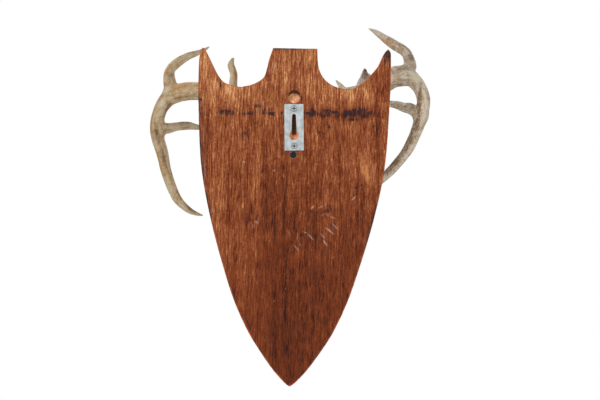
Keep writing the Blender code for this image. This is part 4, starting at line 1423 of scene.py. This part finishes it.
class Branch:
    """A tapering branch of an antler, with the means to measure from its centre line."""

    def __init__(self, rows: np.ndarray) -> None:
        """Lays two directions across each run of the branch, which turn with it.

        Args:
            rows: The (x, y, z, radius) rows of its centre line.
        """
        self.rows = rows
        runs = np.diff(rows[:, :3], axis=0)
        lengths = np.linalg.norm(runs, axis=1)
        self.starts = np.concatenate([[0.0], np.cumsum(lengths)])
        self.length = float(self.starts[-1])
        ways = runs / lengths[:, None]
        first = np.cross(ways[0], [0.3, 0.9, 0.2])
        sides = [first / np.linalg.norm(first)]
        for way in ways[1:]:
            side = sides[-1] - (sides[-1] @ way) * way
            sides.append(side / np.linalg.norm(side))
        self.sides = np.array(sides)
        self.overs = np.cross(ways, self.sides)

    def measure(self, places: np.ndarray) -> tuple[np.ndarray, np.ndarray]:
        """Measures points against the branch.

        Args:
            places: The points.

        Returns:
            Their distances from the skin, and their places as if the branch were straight: two across
            it and one along it.
        """
        best = np.full(len(places), np.inf)
        straight = np.zeros((len(places), 3))
        for number, (a, b) in enumerate(zip(self.rows, self.rows[1:])):
            t, off = from_run(places, a[:3], b[:3])
            skin = np.linalg.norm(off, axis=1) - (a[3] + t * (b[3] - a[3]))
            closer = skin < best
            best[closer] = skin[closer]
            along = self.starts[number] + t * (self.starts[number + 1] - self.starts[number])
            found = np.stack([off @ self.sides[number], off @ self.overs[number], along], axis=1)
            straight[closer] = found[closer]
        return best, straight


@dataclass
class Antler:
    """One antler: burr, main beam and tines grown together, with furrows, pearls and smooth tips."""

    name: str
    side: Side
    beam: tuple
    tines: tuple[Tine, ...]
    finish: AntlerFinish
    seed: int
    node: str = "skull_and_antlers"
    burr: tuple = ((-13, 14.0), (-9, 19.5), (-4, 23.0), (1, 20.0), (7, 15.0))
    burr_place: tuple = (216, 44, 128)
    burr_reach: float = 12 * MM
    root_depth: float = 9 * MM
    root_radius: float = 11 * MM
    voxel: float = 0.95 * MM
    web: float = 8.0 * MM
    furrow_depth: float = 0.62 * MM
    furrow_width: float = 3.1 * MM
    furrow_lean: float = 0.09
    furrow_share: float = 0.34
    fine_width: float = 1.5 * MM
    fine_lean: float = 0.07
    fine_depth: float = 0.16 * MM
    swell_size: float = 26 * MM
    swell_height: float = 0.55 * MM
    pearl_height: float = 1.15 * MM
    pearl_size: float = 3.9 * MM
    pearl_reach: float = 62 * MM
    polish_length: float = 34 * MM
    polish_end: float = 6 * MM
    tip_roughness: float = 0.08
    beam_roughness: float = 0.62
    ridge_height: float = 0.12
    hollow_rounds: int = 10
    hollow_depth: float = 0.42 * MM
    knob_pitch: Band = (3.4, 140.0)
    knob_height: float = 2.4 * MM
    lump_height: float = 0.9 * MM
    knob_band: Band = (8 * MM, 2 * MM)
    knob_reach: float = 4 * MM

    def placed(self, rows: tuple) -> np.ndarray:
        """Rows measured from the burr as (x, y, z, radius) in the frame, drawn finer."""
        middle = np.array(PLACE.local(self.burr_place, self.side.value))
        world = np.array(PLACE.matrix())
        table = np.array(rows, dtype=float) * MM
        local = np.stack([self.side.value * table[:, 0], -table[:, 1], table[:, 2]], axis=1) + middle
        there = local @ world[:3, :3].T + world[:3, 3]
        return smooth_line(np.hstack([there, table[:, 3:]]), 3.0 * MM)

    def build(self) -> bpy.types.Object:
        """Makes the antler and puts it on the frame."""
        beam = self.placed(self.beam)
        start, way = beam[0, :3], beam[4, :3] - beam[0, :3]
        way /= np.linalg.norm(way)
        collar = [[*(start + way * along * MM), radius * MM] for along, radius in self.burr]
        root = [*(start - way * self.root_depth), self.root_radius]
        branches = [Branch(np.vstack([root, beam])), Branch(smooth_line(np.array(collar), 2.0 * MM))]
        branches += [Branch(self.placed(tine.rows)) for tine in self.tines]
        antler = joined([bar(f"branch_{i}", branch.rows) for i, branch in enumerate(branches)])
        apply_modifier(antler, "REMESH", mode="VOXEL", voxel_size=self.voxel)
        self.grow_together(antler.data, branches)
        self.carve_surface(antler.data, branches)
        hand_over(antler, self.name, self.node, "bone_and_antler", self.finish.build())
        return antler

    def skin(self, places: np.ndarray, branches: list[Branch]) -> np.ndarray:
        """The distance of points from the skin of all branches, with soft webs where they meet."""
        merged = branches[0].measure(places)[0]
        for branch in branches[1:]:
            other = branch.measure(places)[0]
            soft = np.clip(self.web - np.abs(merged - other), 0.0, None) / self.web
            merged = np.minimum(merged, other) - soft**2 * self.web / 4
        return merged

    def grow_together(self, mesh: bpy.types.Mesh, branches: list[Branch]) -> None:
        """Moves the rough form's points on to the smooth skin."""
        places = relaxed(mesh, points_of(mesh), 4)
        put_points(mesh, places)
        for _ in range(3):
            places = places - normals_of(mesh) * self.skin(places, branches)[:, None]
            places = relaxed(mesh, places, 1)
            put_points(mesh, places)

    def surveyed(self, places: np.ndarray, branches: list[Branch]) -> tuple[np.ndarray, ...]:
        """Finds where each point lies on its nearest branch, leaving out the burr's collar.

        Args:
            places: The points.
            branches: The beam, the collar and the tines.

        Returns:
            Their places as if the branch were straight, their distances from its end and from the burr,
            and how dark a tip they are on.
        """
        count = len(places)
        nearest, to_end = np.full(count, np.inf), np.full(count, 1.0)
        straight, dark = np.zeros((count, 3)), np.zeros(count)
        for number, branch in enumerate(branches):
            skin, found = branch.measure(places)
            closer = skin < nearest
            nearest[closer] = skin[closer]
            if number == 1:
                continue
            straight[closer] = found[closer] + np.array([0.0, 0.0, 0.37 * number])
            left = branch.length - found[:, 2]
            to_end[closer] = left[closer]
            if number == 0:
                from_burr = np.where(skin < self.burr_reach, found[:, 2], 1.0)
            else:
                tip = self.tines[number - 2].tip.value
                dark[closer] = tip * stepped(left[closer], self.polish_length, 0.0)
        return straight, to_end, from_burr, dark

    def carve_surface(self, mesh: bpy.types.Mesh, branches: list[Branch]) -> None:
        """Cuts the furrows, raises the pearls and the burr's knobs, and notes them for the finish."""
        places = points_of(mesh)
        straight, to_end, from_burr, dark = self.surveyed(places, branches)
        polish = stepped(to_end, self.polish_length, self.polish_end)
        near_burr = stepped(from_burr, self.pearl_reach, self.burr_reach)
        rough = 1.0 - (1.0 - self.tip_roughness) * polish
        rough *= self.beam_roughness + (1.0 - self.beam_roughness) * near_burr
        unit = straight / self.furrow_width * np.array([1.0, 1.0, self.furrow_lean])
        waves = roughly(unit, self.seed) + 0.5 * roughly(unit * 2.1, self.seed + 1)
        valleys = np.clip(self.furrow_share - np.abs(waves), 0.0, None) / self.furrow_share
        unit = straight / self.fine_width * np.array([1.0, 1.0, self.fine_lean])
        fine = roughly(unit, self.seed + 2)
        swell = roughly(places / self.swell_size, self.seed + 3)
        pearls = beads(places / self.pearl_size, self.seed + 4) * near_burr**1.5
        shift = (self.furrow_depth * (self.ridge_height - valleys) + self.fine_depth * fine) * rough
        shift += self.swell_height * swell * (1 - polish) + self.pearl_height * pearls
        shift += self.knobs(places, branches[1])
        places = np.clip(places + normals_of(mesh) * shift[:, None], *corners(self.node))
        put_points(mesh, places)
        carry(mesh, "straight", straight)
        carry(mesh, "hollow", hollows(mesh, places, self.hollow_rounds, self.hollow_depth))
        carry(mesh, "tip", polish)
        carry(mesh, "root", near_burr)
        carry(mesh, "dark_tip", dark)

    def knobs(self, places: np.ndarray, collar: Branch) -> np.ndarray:
        """The uneven knobs round the burr, as a shift outwards."""
        skin, found = collar.measure(places)
        angle = np.arctan2(found[:, 0], found[:, 1])
        middle = collar.length * 0.45
        band = stepped(np.abs(found[:, 2] - middle), *self.knob_band) * (skin < self.knob_reach)
        about, along = self.knob_pitch
        ring = np.stack([np.cos(angle) * about, np.sin(angle) * about, found[:, 2] * along], axis=1)
        knobs = self.knob_height * beads(ring, self.seed + 8)
        return (knobs + self.lump_height * roughly(ring * 1.3, self.seed + 9)) * band


LEFT_BEAM = (
    (0, 0, 0, 16.0), (22, 27, 14, 15.8), (55, 54, 26, 14.3), (88, 77, 32, 12.8), (109, 91, 33, 13.0),
    (130, 103, 28, 12.0), (146, 113, 11, 9.8), (153, 121, -12, 9.7), (152, 126, -32, 9.3),
    (146.6, 130, -52, 8.6), (142, 134, -77.4, 7.5), (135, 137, -100.8, 6.9), (126, 141, -121, 6.2),
    (111.6, 144, -135.2, 4.7), (100, 146, -141.4, 2.9), (91.5, 148, -144, 1.2),
)
RIGHT_BEAM = (
    (0, 0, 0, 16.0), (24, 23, 11, 16.0), (59, 51, 23.5, 14.6), (95, 77, 45, 14.8), (109, 87, 48, 14.2),
    (125, 99, 46, 11.7), (138, 109, 33.4, 9.6), (144, 117, 16, 9.8), (142, 122, 0, 9.7),
    (138, 126, -16, 9.0), (130, 131, -36, 8.0), (119.6, 135, -56.5, 7.6), (106.6, 138, -72.6, 7.2),
    (92.6, 141, -87.5, 6.7), (76, 144, -101, 5.8), (61, 146, -110, 4.4), (50, 148, -115, 2.6),
    (42, 149, -117, 1.1),
)
LEFT_TINES = (
    Tine((
        (34, 38, 18, 10.0), (39, 53, 28, 7.4), (40, 66, 38, 6.0), (39.5, 87, 56, 5.3),
        (43.5, 101, 70, 4.9), (42, 108, 78, 2.8), (40, 113, 81, 1.0),
    )),
    Tine((
        (126, 101, 31, 11.0), (132.3, 113, 47, 9.0), (133.8, 133, 65.8, 7.4), (125.2, 155, 79.2, 6.9),
        (111, 177, 90.6, 5.6), (97, 196, 97.6, 4.0), (87, 209, 103.6, 2.5), (81, 216, 108, 1.0),
    )),
    Tine((
        (150, 122, -17, 8.0), (139, 134, -17, 7.6), (128, 151, -14, 6.4), (113, 173, -11.6, 6.0),
        (101, 191, -13, 4.3), (90, 207, -15, 2.4), (85, 216, -17, 1.0),
    )),
)
RIGHT_TINES = (
    Tine(
        ((58, 48, 22, 12.5), (54, 66, 37, 7.4), (57, 83, 49, 4.8), (59, 94, 57, 3.4), (59, 100, 60, 2.0)),
        Tip.DARK,
    ),
    Tine(((56, 61, 32, 6.5), (62, 77, 44, 3.2), (65, 87, 51, 1.4))),
    Tine(((38, 33, 14, 9.0), (27, 47, 28, 4.8), (22, 55, 36, 2.9), (17, 63, 43, 0.9))),
    Tine((
        (105, 88, 50, 11.0), (123.6, 112, 62, 9.8), (124.2, 127, 77, 7.9), (119.6, 143, 89, 7.4),
        (106, 163, 100.8, 7.1), (91.2, 187, 114.6, 5.8), (80.4, 203, 124.8, 3.4), (71.8, 215, 131, 1.0),
    )),
    Tine((
        (140.5, 123, -6, 8.4), (127, 135, 4.8, 8.0), (118, 149, 8, 6.8), (109, 163, 12.4, 5.8),
        (100, 175, 15, 5.0), (91, 188, 18, 3.7), (82, 201, 21, 1.9), (77, 207, 22, 0.9),
    )),
)


WARM_ANTLER = AntlerFinish(
    "left_antler_horn",
    ridge=colour(210, 190, 157),
    body=colour(184, 151, 109),
    furrow=colour(106, 76, 46),
    tip=colour(178, 154, 118),
    brown_areas=drawn(
        (171, 76, 9, 6, 60, 0.7), (189, 57, 13, 5, 32, 0.65), (181, 63, 10, 3, 40, 0.6),
        (168.5, 110, 16, 4, 62, 1), (157.5, 134, 20, 4, -82, 1.05), (163.5, 158, 24, 3.6, -76, 0.85),
        (192, 208, 15, 6.5, -32, 1.15), (180, 196, 16, 3, -52, 0.5), (182, 84, 18, 3, 4, 0.55),
        (190, 98, 14, 2.4, 4, 0.6), (237, 76, 22, 3.4, -80, 0.7), (184, 122, 14, 2, 2, 0.4),
    ),
    pale_areas=drawn(
        # The first pale mark, at the fork of the beam, is a painted highlight.
        (168, 91.5, 9, 5, 45, 0.9), (163, 104, 10, 5, 55, 0.9), (171, 127, 9, 5, 0, 0.6),
        (169, 150, 24, 4, -72, 0.8), (180, 190, 20, 3.4, -54, 0.5), (157, 118, 9, 4, 80, 0.35),
    ),
    warm_areas=drawn(
        (185, 88, 22, 9, 2, 0.8), (151, 124, 24, 3.6, 86, 0.8), (158, 160, 26, 3, -74, 0.6),
        (166, 72, 18, 6, 66, 0.8), (237, 76, 22, 8, -80, 0.6), (196, 51, 12, 4, 26, 0.5),
        (170, 83, 12, 5, 50, 0.5),
    ),
)

GREY_ANTLER = AntlerFinish(
    "right_antler_horn",
    ridge=colour(216, 202, 182),
    body=colour(172, 149, 122),
    furrow=colour(100, 78, 58),
    tip=colour(188, 166, 140),
    brown_areas=drawn(
        (400, 42.5, 15, 2.6, -31, 0.7), (395, 45.5, 5, 4, -30, 0.6), (409, 58, 12, 8, 60, 0.75),
        (418.5, 105, 30, 3.6, 87, 1.3), (416, 126, 22, 4.6, 72, 1.2), (406, 143, 36, 9, 60, 1.3),
        (393, 163, 24, 8, 54, 1.2), (395, 76, 12, 7, 80, 0.5), (399, 87, 14, 2.4, 6, 0.6),
        (406, 113, 10, 3, -20, 0.6), (412, 108, 9, 4, 60, 0.5), (360, 82, 16, 11, 60, 1.1),
    ),
    pale_areas=drawn(
        (413, 79, 14, 9, -50, 0.85), (425, 100, 26, 3.2, -82, 0.75), (421, 137, 36, 2.8, 66, 1.1),
        (405, 165, 22, 2.4, 54, 0.9), (388, 41, 14, 3, -36, 0.5),
    ),
    warm_areas=drawn(
        (372, 82, 16, 10, 60, 0.5), (385, 38, 26, 8, -32, 0.8), (371.5, 30, 7, 4, -30, 0.9),
        (404, 47, 12, 2.4, -31, 0.5), (404, 106, 12, 3.6, -10, 0.4), (395, 82, 9, 5, 0, 0.45),
    ),
)


@dataclass
class Skull:
    """The skull: a lofted braincase and face with arches, rims, pedicles and hollows grown into it."""

    node: str = "skull_and_antlers"
    sides: int = 64
    ring_step: float = 3.0 * MM
    voxel: float = 1.25 * MM
    sections: tuple = (
        (0, 7, 20, 13, 16, 2.0), (5, 13, 22, 12.5, 17, 2.2), (15, 18.5, 26, 12.5, 18, 2.4),
        (30, 19.5, 32, 13, 20, 2.3), (48, 18.5, 42, 13.5, 24, 2.2), (62, 19.5, 51.5, 14, 27, 2.2),
        (80, 24, 58, 14, 30, 2.3), (102, 30.5, 64.5, 14, 31, 2.4), (122, 35.5, 71.5, 14, 36, 2.4),
        (140, 39, 79, 14.5, 56, 2.4), (155, 43.5, 86.5, 16, 74, 2.5), (170, 47, 93, 22, 80, 2.5),
        (184, 47, 99, 26, 82, 2.5), (196, 41.5, 103.5, 25, 78, 2.3), (209, 36.5, 105, 23, 66, 2.2),
        (224, 36, 102, 21, 58, 2.2), (239, 35.5, 95, 20, 54, 2.2), (252, 34, 86, 20, 50, 2.3),
        (263, 31.5, 76, 21, 46, 2.4), (270, 27, 66, 23, 44, 2.4), (275, 20.5, 57, 27, 42, 2.2),
    )
    nasal_bone: tuple = (
        (118, 7, 54, 5.0), (100, 7, 56.5, 7.5), (86, 6.5, 54, 7.0), (70, 6, 50, 5.4), (58, 5.5, 47.5, 3.6),
        (50, 5, 45.6, 1.6),
    )
    bars: tuple = (
        (
            (118, 30, 33, 6.0), (136, 41, 36, 6.5), (152, 48, 40, 5.6), (170, 53, 43, 4.8),
            (188, 55, 45, 4.5), (206, 52.5, 45, 4.4), (220, 46, 44.5, 5.0), (232, 33, 46, 6.0),
        ),
        ((186, 40, 84, 7.0), (191, 47, 71, 5.0), (191, 52, 57, 4.4), (188, 53, 46, 4.4)),
        ((186, 20, 80, 17.0), (199, 30, 101, 16.5), (208, 37.5, 115, 16.0), (216, 44, 128, 15.5)),
        ((242, 31, 48, 4.0), (253, 27, 62, 4.4), (258.5, 14, 73, 4.4), (260, -3, 76.5, 4.4)),
        ((250, 27, 38, 8.0), (254, 29.5, 24, 5.6), (257, 29, 10, 4.0), (258, 27.5, 0.4, 2.6)),
        ((176, 12, 34, 5.0), (181, 11.5, 20, 3.2), (186, 12, 10, 1.6)),
    )
    nasal_cavity: tuple = (
        (-8, 0, 27, 6.5), (8, 0, 28.5, 9.5), (28, 0, 35, 12), (48, 0, 39, 12), (66, 0, 39, 10),
        (84, 0, 40, 5),
    )
    spinal_hole: tuple = ((292, 0, 36, 9.5), (268, 0, 38, 9.0), (248, 0, 44, 8.0))
    balls: tuple = (((267, 12.5, 27), 10.5), ((226, 21, 18), 9.5))
    pits: tuple = (
        ((168, 48, 64), 19.0, (1.0, 1.0, 1.0)),
        ((142, 45, 63), 9.0, (0.75, 0.8, 1.0)),
        ((126, 27.5, 66), 7.0, (0.7, 0.5, 1.3)),
        ((27, 8.2, 15), 6.0, (0.6, 1.6, 2.4)),
    )
    rim: tuple = ((168, 48, 64), 19.5, 3.6)
    rim_way: tuple = (math.radians(22.0), math.radians(10.0))
    nose_stations: Band = (4.0, 44.0)
    nerve_holes: tuple = (
        ("roof", 176, 22, 3.2), ("roof", 168, 21, 2.2), ("side", 78, 36, 3.4), ("side", 128, 44, 2.0),
    )
    hole_rim: Band = (1.25, 0.35)
    roof_band: Band = (0.25, 0.6)
    side_band: Band = (0.4, 0.75)
    even_rounds: int = 12
    hollow_rounds: int = 14
    hollow_depth: float = 0.9 * MM
    grease_heights: Band = (34, 14)
    grease_stations: Band = (236, 262)
    seam_width: float = 0.8
    seam_sway: float = 0.8
    seam_depth: float = 0.45 * MM
    hole_depth: float = 2.6 * MM
    grain_height: float = 0.07 * MM
    swell_height: float = 0.45 * MM

    def seams(self) -> list[tuple[str, list[tuple[float, float]]]]:
        """The seams between the bones, each on the roof or the side, as (station, side or height) points."""
        lines = [
            ("roof", [(48, 0), (118, 0), (214, 0)]),
            ("roof", [(214, 0), (248, 0)]),
            ("side", [(150, 30), (132, 38), (120, 52), (128, 70)]),
            ("side", [(60, 16), (52, 26), (54, 40)]),
            ("side", [(212, 96), (218, 74), (240, 62), (250, 56)]),
            ("side", [(186, 52), (180, 44), (192, 38)]),
        ]
        paired = (
            ((214, 0), (211, 12), (216, 24), (212, 40)),
            ((118, 0), (112, 6), (121, 13), (108, 15), (60, 12)),
            ((248, 0), (251, 14), (246, 28)),
        )
        for side in (1, -1):
            lines += [("roof", [(station, side * across) for station, across in line]) for line in paired]
        return lines

    def loft(self) -> bpy.types.Object:
        """The closed skin of the head, lofted through finely spaced sections."""
        table = np.array([[station, 0.0, 0.0, *rest] for station, *rest in self.sections], dtype=float)
        angles = np.linspace(0.0, 2 * math.pi, self.sides, endpoint=False)
        cos, sin = np.cos(angles), np.sin(angles)
        points: list[list[float]] = []
        for station, _, _, half, crown, base, widest, square in smooth_line(table, self.ring_step / MM):
            across = half * np.sign(cos) * np.abs(cos) ** (2 / square)
            reach = np.where(sin > 0, crown - widest, widest - base)
            height = widest + reach * np.sign(sin) * np.abs(sin) ** (2 / square)
            points += [PLACE.local((station, w, h)) for w, h in zip(across, height)]
        piece = ringed("braincase", points, self.sides)
        weld(piece)
        return piece

    def drawn_bar(self, name: str, rows: tuple, side: int) -> bpy.types.Object:
        """A round bar of the drawing on one side."""
        local = np.array([PLACE.local(row, side) for row in rows])
        return bar(name, smooth_line(local, 3.0 * MM), roundness=6)

    def ball(
        self, name: str, place: tuple, radius: float, side: int, stretch: tuple = (1, 1, 1)
    ) -> bpy.types.Object:
        """A ball or an egg of the drawing."""
        sizes = {"segments": 32, "ring_count": 20, "radius": radius * MM}
        made = primitive(bpy.ops.mesh.primitive_uv_sphere_add, name, **sizes)
        made.scale = stretch
        made.location = PLACE.local(place, side)
        settle(made)
        return made

    def eye_rim(self, side: int) -> bpy.types.Object:
        """The raised ring round an eye socket."""
        place, radius, thickness = self.rim
        forward, upward = self.rim_way
        sizes = {"major_radius": radius * MM, "minor_radius": thickness * MM}
        sizes |= {"major_segments": 64, "minor_segments": 16}
        ring = primitive(bpy.ops.mesh.primitive_torus_add, "eye_rim", **sizes)
        facing = Vector((side, -math.tan(upward), -math.tan(forward)))
        ring.rotation_euler = facing.to_track_quat("Z", "Y").to_euler()
        ring.location = PLACE.local(place, side)
        settle(ring)
        return ring

    def build(self, bone: Bone) -> bpy.types.Object:
        """Makes the skull and puts it on the frame."""
        skull = self.loft()
        for side in (1, -1):
            carve(skull, self.drawn_bar("nasal", self.nasal_bone, side), "UNION", "MANIFOLD")
        channels = {"cavity": self.nasal_cavity, "spine": self.spinal_hole}
        hollow = [self.drawn_bar(name, rows, 1) for name, rows in channels.items()]
        for side in (1, -1):
            hollow += [self.ball("pit", place, radius, side, form) for place, radius, form in self.pits]
        for tool in hollow:
            carve(skull, tool, solver="MANIFOLD")
        grown = [skull]
        for side in (1, -1):
            grown += [self.drawn_bar("bar", rows, side) for rows in self.bars]
            grown += [self.ball("knob", place, radius, side) for place, radius in self.balls]
            grown.append(self.eye_rim(side))
        skull = joined(grown)
        apply_modifier(skull, "REMESH", mode="VOXEL", voxel_size=self.voxel)
        self.finish_surface(skull.data)
        skull.data.transform(PLACE.matrix())
        put_points(skull.data, np.clip(points_of(skull.data), *corners(self.node)))
        hand_over(skull, "deer_skull", self.node, "bone_and_antler", bone.build())
        return skull

    def in_cavities(self, places: np.ndarray) -> np.ndarray:
        """How deep each point, in the skull's own axes, lies in the nasal cavity or an eye socket."""
        rows = np.array([PLACE.local(row) for row in self.nasal_cavity])
        nose = Branch(smooth_line(rows, self.ring_step)).measure(places)[0]
        inward = stepped(places[:, 2] / MM + PLACE.station, *self.nose_stations)
        deep = stepped(nose, 2.4 * MM, 0.6 * MM) * inward
        place, radius, _ = self.pits[0]
        for side in (1, -1):
            middle = np.array(PLACE.local(place, side))
            reach = np.linalg.norm(places - middle, axis=1)
            into = stepped(side * (middle[0] - places[:, 0]), 2 * MM, 15 * MM)
            deep = np.maximum(deep, stepped(reach, (radius + 2.0) * MM, radius * MM) * into)
        return deep

    def finish_surface(self, mesh: bpy.types.Mesh) -> None:
        """Evens the form, cuts the seams and nerve holes and notes them for the finish."""
        places = relaxed(mesh, points_of(mesh), self.even_rounds)
        put_points(mesh, places)
        normals = normals_of(mesh)
        station = places[:, 2] / MM + PLACE.station
        across, height = places[:, 0] / MM, -places[:, 1] / MM
        facing = {
            "roof": stepped(-normals[:, 1], *self.roof_band),
            "side": stepped(np.abs(normals[:, 0]), *self.side_band),
        }
        zigzag = 1.5 * roughly(places / (3.0 * MM), 21) + 0.8 * roughly(places / (1.4 * MM), 22)
        seam = np.zeros(len(places))
        for where, line in self.seams():
            second = across if where == "roof" else height
            flat = np.stack([station + zigzag, second + self.seam_sway * zigzag], axis=1)
            stops = np.array(line, dtype=float)
            for start, end in zip(stops, stops[1:]):
                reach = np.linalg.norm(from_run(flat, start, end)[1], axis=1)
                seam = np.maximum(seam, np.exp(-((reach / self.seam_width) ** 2)) * facing[where])
        holes = np.zeros(len(places))
        for where, middle, level, size in self.nerve_holes:
            second = np.abs(across) if where == "roof" else height
            reach = np.hypot(station - middle, second - level)
            rim, floor = (size * share for share in self.hole_rim)
            holes = np.maximum(holes, stepped(reach, rim, floor) * facing[where])
        grain = roughly(places / (2.2 * MM), 23) + 0.6 * roughly(places / (1.3 * MM), 24)
        swell = roughly(places / (22 * MM), 25)
        shift = -self.seam_depth * seam - self.hole_depth * holes
        shift += self.grain_height * grain + self.swell_height * swell
        places = places + normals * shift[:, None]
        put_points(mesh, places)
        sunk = hollows(mesh, places, self.hollow_rounds, self.hollow_depth)
        carry(mesh, "hollow", np.maximum(sunk, holes))
        carry(mesh, "seam", seam)
        # Notes where painted shadow goes, deep in the nasal cavity and the eye sockets.
        carry(mesh, "cavity", self.in_cavities(places))
        grease = stepped(height, *self.grease_heights) + 0.8 * stepped(station, *self.grease_stations)
        carry(mesh, "grease", np.clip(grease, 0.0, 1.0))


@dataclass
class CheekTeeth:
    """Both rows of cheek teeth, each tooth a worn block with a groove down its side and ridged cusps."""

    node: str = "skull_and_antlers"
    teeth: tuple = (
        (82, 91, 8), (91, 101.5, 9), (101.5, 113, 10), (113, 127, 12.5), (127, 143, 13.5),
        (143, 159.5, 12.5),
    )
    inner: float = 19.0
    outer: float = 27.0
    roots: float = 20.0
    gap: float = 0.5
    cuts: int = 9
    crown_band: Band = (5.0, 1.0)
    groove: float = 0.10
    bulge: float = 0.05
    bulge_height: float = 9.0
    rounding: float = 0.22
    cusp: float = 1.1
    dish: float = 1.2
    wear: float = 1.4
    least: float = 0.2
    gum_band: Band = (2.0, 11.0)

    def tooth(self, front: float, back: float, width: float, side: int) -> bpy.types.Object:
        """Shapes one tooth from a cube.

        Args:
            front: Where it starts, from the nose.
            back: Where it ends.
            width: How wide it is.
            side: The side that it is on.

        Returns:
            The tooth, in the skull's own axes.
        """
        first, last = self.teeth[0][0], self.teeth[-1][1]
        centre, half = (front + back) / 2, (back - front) / 2
        bow = math.sin((centre - first) / (last - first) * math.pi / 2)
        middle = side * (self.inner + (self.outer - self.inner) * bow)
        piece = primitive(bpy.ops.mesh.primitive_cube_add, "tooth", size=1.0)
        piece.scale = (width * MM, self.roots * MM, (back - front - self.gap) * MM)
        piece.location = PLACE.local((centre, middle, self.roots / 2))
        settle(piece)
        with editing(piece):
            bpy.ops.mesh.subdivide(number_cuts=self.cuts)
        places = points_of(piece.data)
        along = (places[:, 2] / MM + PLACE.station - centre) / half
        over = (places[:, 0] / MM - middle) / (width / 2)
        height = -places[:, 1] / MM
        crown = stepped(height, *self.crown_band)
        pinch = self.groove * np.cos(along * math.pi) * stepped(np.abs(over), 0.4, 1.0)
        swell = 1.0 + self.bulge * np.sin(np.clip(height / self.bulge_height, 0, 1) * math.pi)
        round_off = 1.0 - self.rounding * (np.abs(along) * np.abs(over)) ** 3
        cusps = self.cusp * np.cos(along * math.pi * 2) * (0.4 + 0.6 * np.abs(over))
        cusps += self.dish * (over**2 - 0.5)
        places[:, 0] = (middle + over * width / 2 * (swell - pinch) * round_off) * MM
        places[:, 2] = (centre + along * half * round_off - PLACE.station) * MM
        places[:, 1] = -np.maximum(height - (cusps * crown - self.wear) * crown, self.least) * MM
        put_points(piece.data, places)
        return piece

    def build(self, enamel: Enamel) -> bpy.types.Object:
        """Makes both rows and puts them on the frame."""
        teeth = joined([self.tooth(*size, side) for side in (1, -1) for size in self.teeth])
        carry(teeth.data, "gum", stepped(-points_of(teeth.data)[:, 1] / MM, *self.gum_band))
        teeth.data.transform(PLACE.matrix())
        hand_over(teeth, "cheek_teeth", self.node, "bone_and_antler", enamel.build(), crease=45.0)
        return teeth


@dataclass(frozen=True)
class Studio:
    """A pale floor, white surroundings and soft lights."""

    floor_height: float = -0.62
    floor_radius: float = 1.8
    floor_thickness: float = 0.02
    floor_speck: Grain = Grain(9, 3)
    floor_shades: tuple = (colour(232, 231, 228), colour(240, 240, 238))
    surroundings: float = 0.26
    lamps: tuple = (
        ("key_light", (1.3, 2.4, 1.3), 1.3, 46.0),
        ("fill_light", (-1.4, 2.4, 0.1), 1.6, 20.5),
        ("room_light", (0.9, -2.3, 1.4), 1.5, 38.0),
        ("room_fill", (-1.9, -1.6, 0.4), 1.4, 16.0),
    )
    aim: tuple = (0.0, -0.1, -0.1)

    def build(self) -> None:
        """Adds the floor, the lights and the surroundings."""
        sizes = {"vertices": 96, "radius": self.floor_radius, "depth": self.floor_thickness}
        middle = (0.0, 0.0, self.floor_height - self.floor_thickness / 2)
        floor = primitive(bpy.ops.mesh.primitive_cylinder_add, "pale_floor", location=middle, **sizes)
        settle(floor)
        paint = Painter("floor_paint", 0.8)
        paint.base = paint.blend(paint.ramp(paint.noise(self.floor_speck), 0.3, 0.7), *self.floor_shades)
        floor.data.materials.append(paint.finish())
        for name, place, size, power in self.lamps:
            bpy.ops.object.light_add(type="AREA", location=place)
            lamp = bpy.context.object
            lamp.name = name
            lamp.data.shape = "DISK"
            lamp.data.size = size
            lamp.data.energy = power
            way = Vector(self.aim) - Vector(place)
            lamp.rotation_euler = way.to_track_quat("-Z", "Y").to_euler()
        self.surround()

    def surround(self) -> None:
        """Makes the world white to the eye and softer as a light."""
        world = bpy.data.worlds.new("white_studio")
        bpy.context.scene.world = world
        world.use_nodes = True
        tree = world.node_tree
        background = tree.nodes["Background"]
        background.inputs["Color"].default_value = (1.0, 1.0, 1.0, 1.0)
        seen = tree.nodes.new("ShaderNodeLightPath")
        strength = tree.nodes.new("ShaderNodeMapRange")
        strength.inputs["To Min"].default_value = self.surroundings
        strength.inputs["To Max"].default_value = 1.0
        tree.links.new(seen.outputs["Is Camera Ray"], strength.inputs["Value"])
        tree.links.new(strength.outputs["Result"], background.inputs["Strength"])
        bpy.context.scene.view_settings.view_transform = "Standard"


def main() -> None:
    """Builds every piece in order."""
    logging.basicConfig(level=logging.INFO, format="%(name)s: %(message)s")
    PHOTO.build()
    Studio().build()
    ShieldBoard().build(StainedWood(), BoredWood())
    zinc = ZincSteel().build()
    KeyholePlate().build(zinc)
    for place in ("upper", "lower"):
        Screw(f"plate_screw_{place}", f"{place}_plate_screw").build(zinc, "zinc_plated_steel")
    Screw("skull_screw", "black_skull_screw").build(BlackSteel().build(), "black_screw_steel")
    Skull().build(Bone())
    CheekTeeth().build(Enamel())
    Antler("left_antler", Side.LEFT, LEFT_BEAM, LEFT_TINES, WARM_ANTLER, seed=3).build()
    Antler("right_antler", Side.RIGHT, RIGHT_BEAM, RIGHT_TINES, GREY_ANTLER, seed=31).build()


if __name__ == "__main__":
    main()
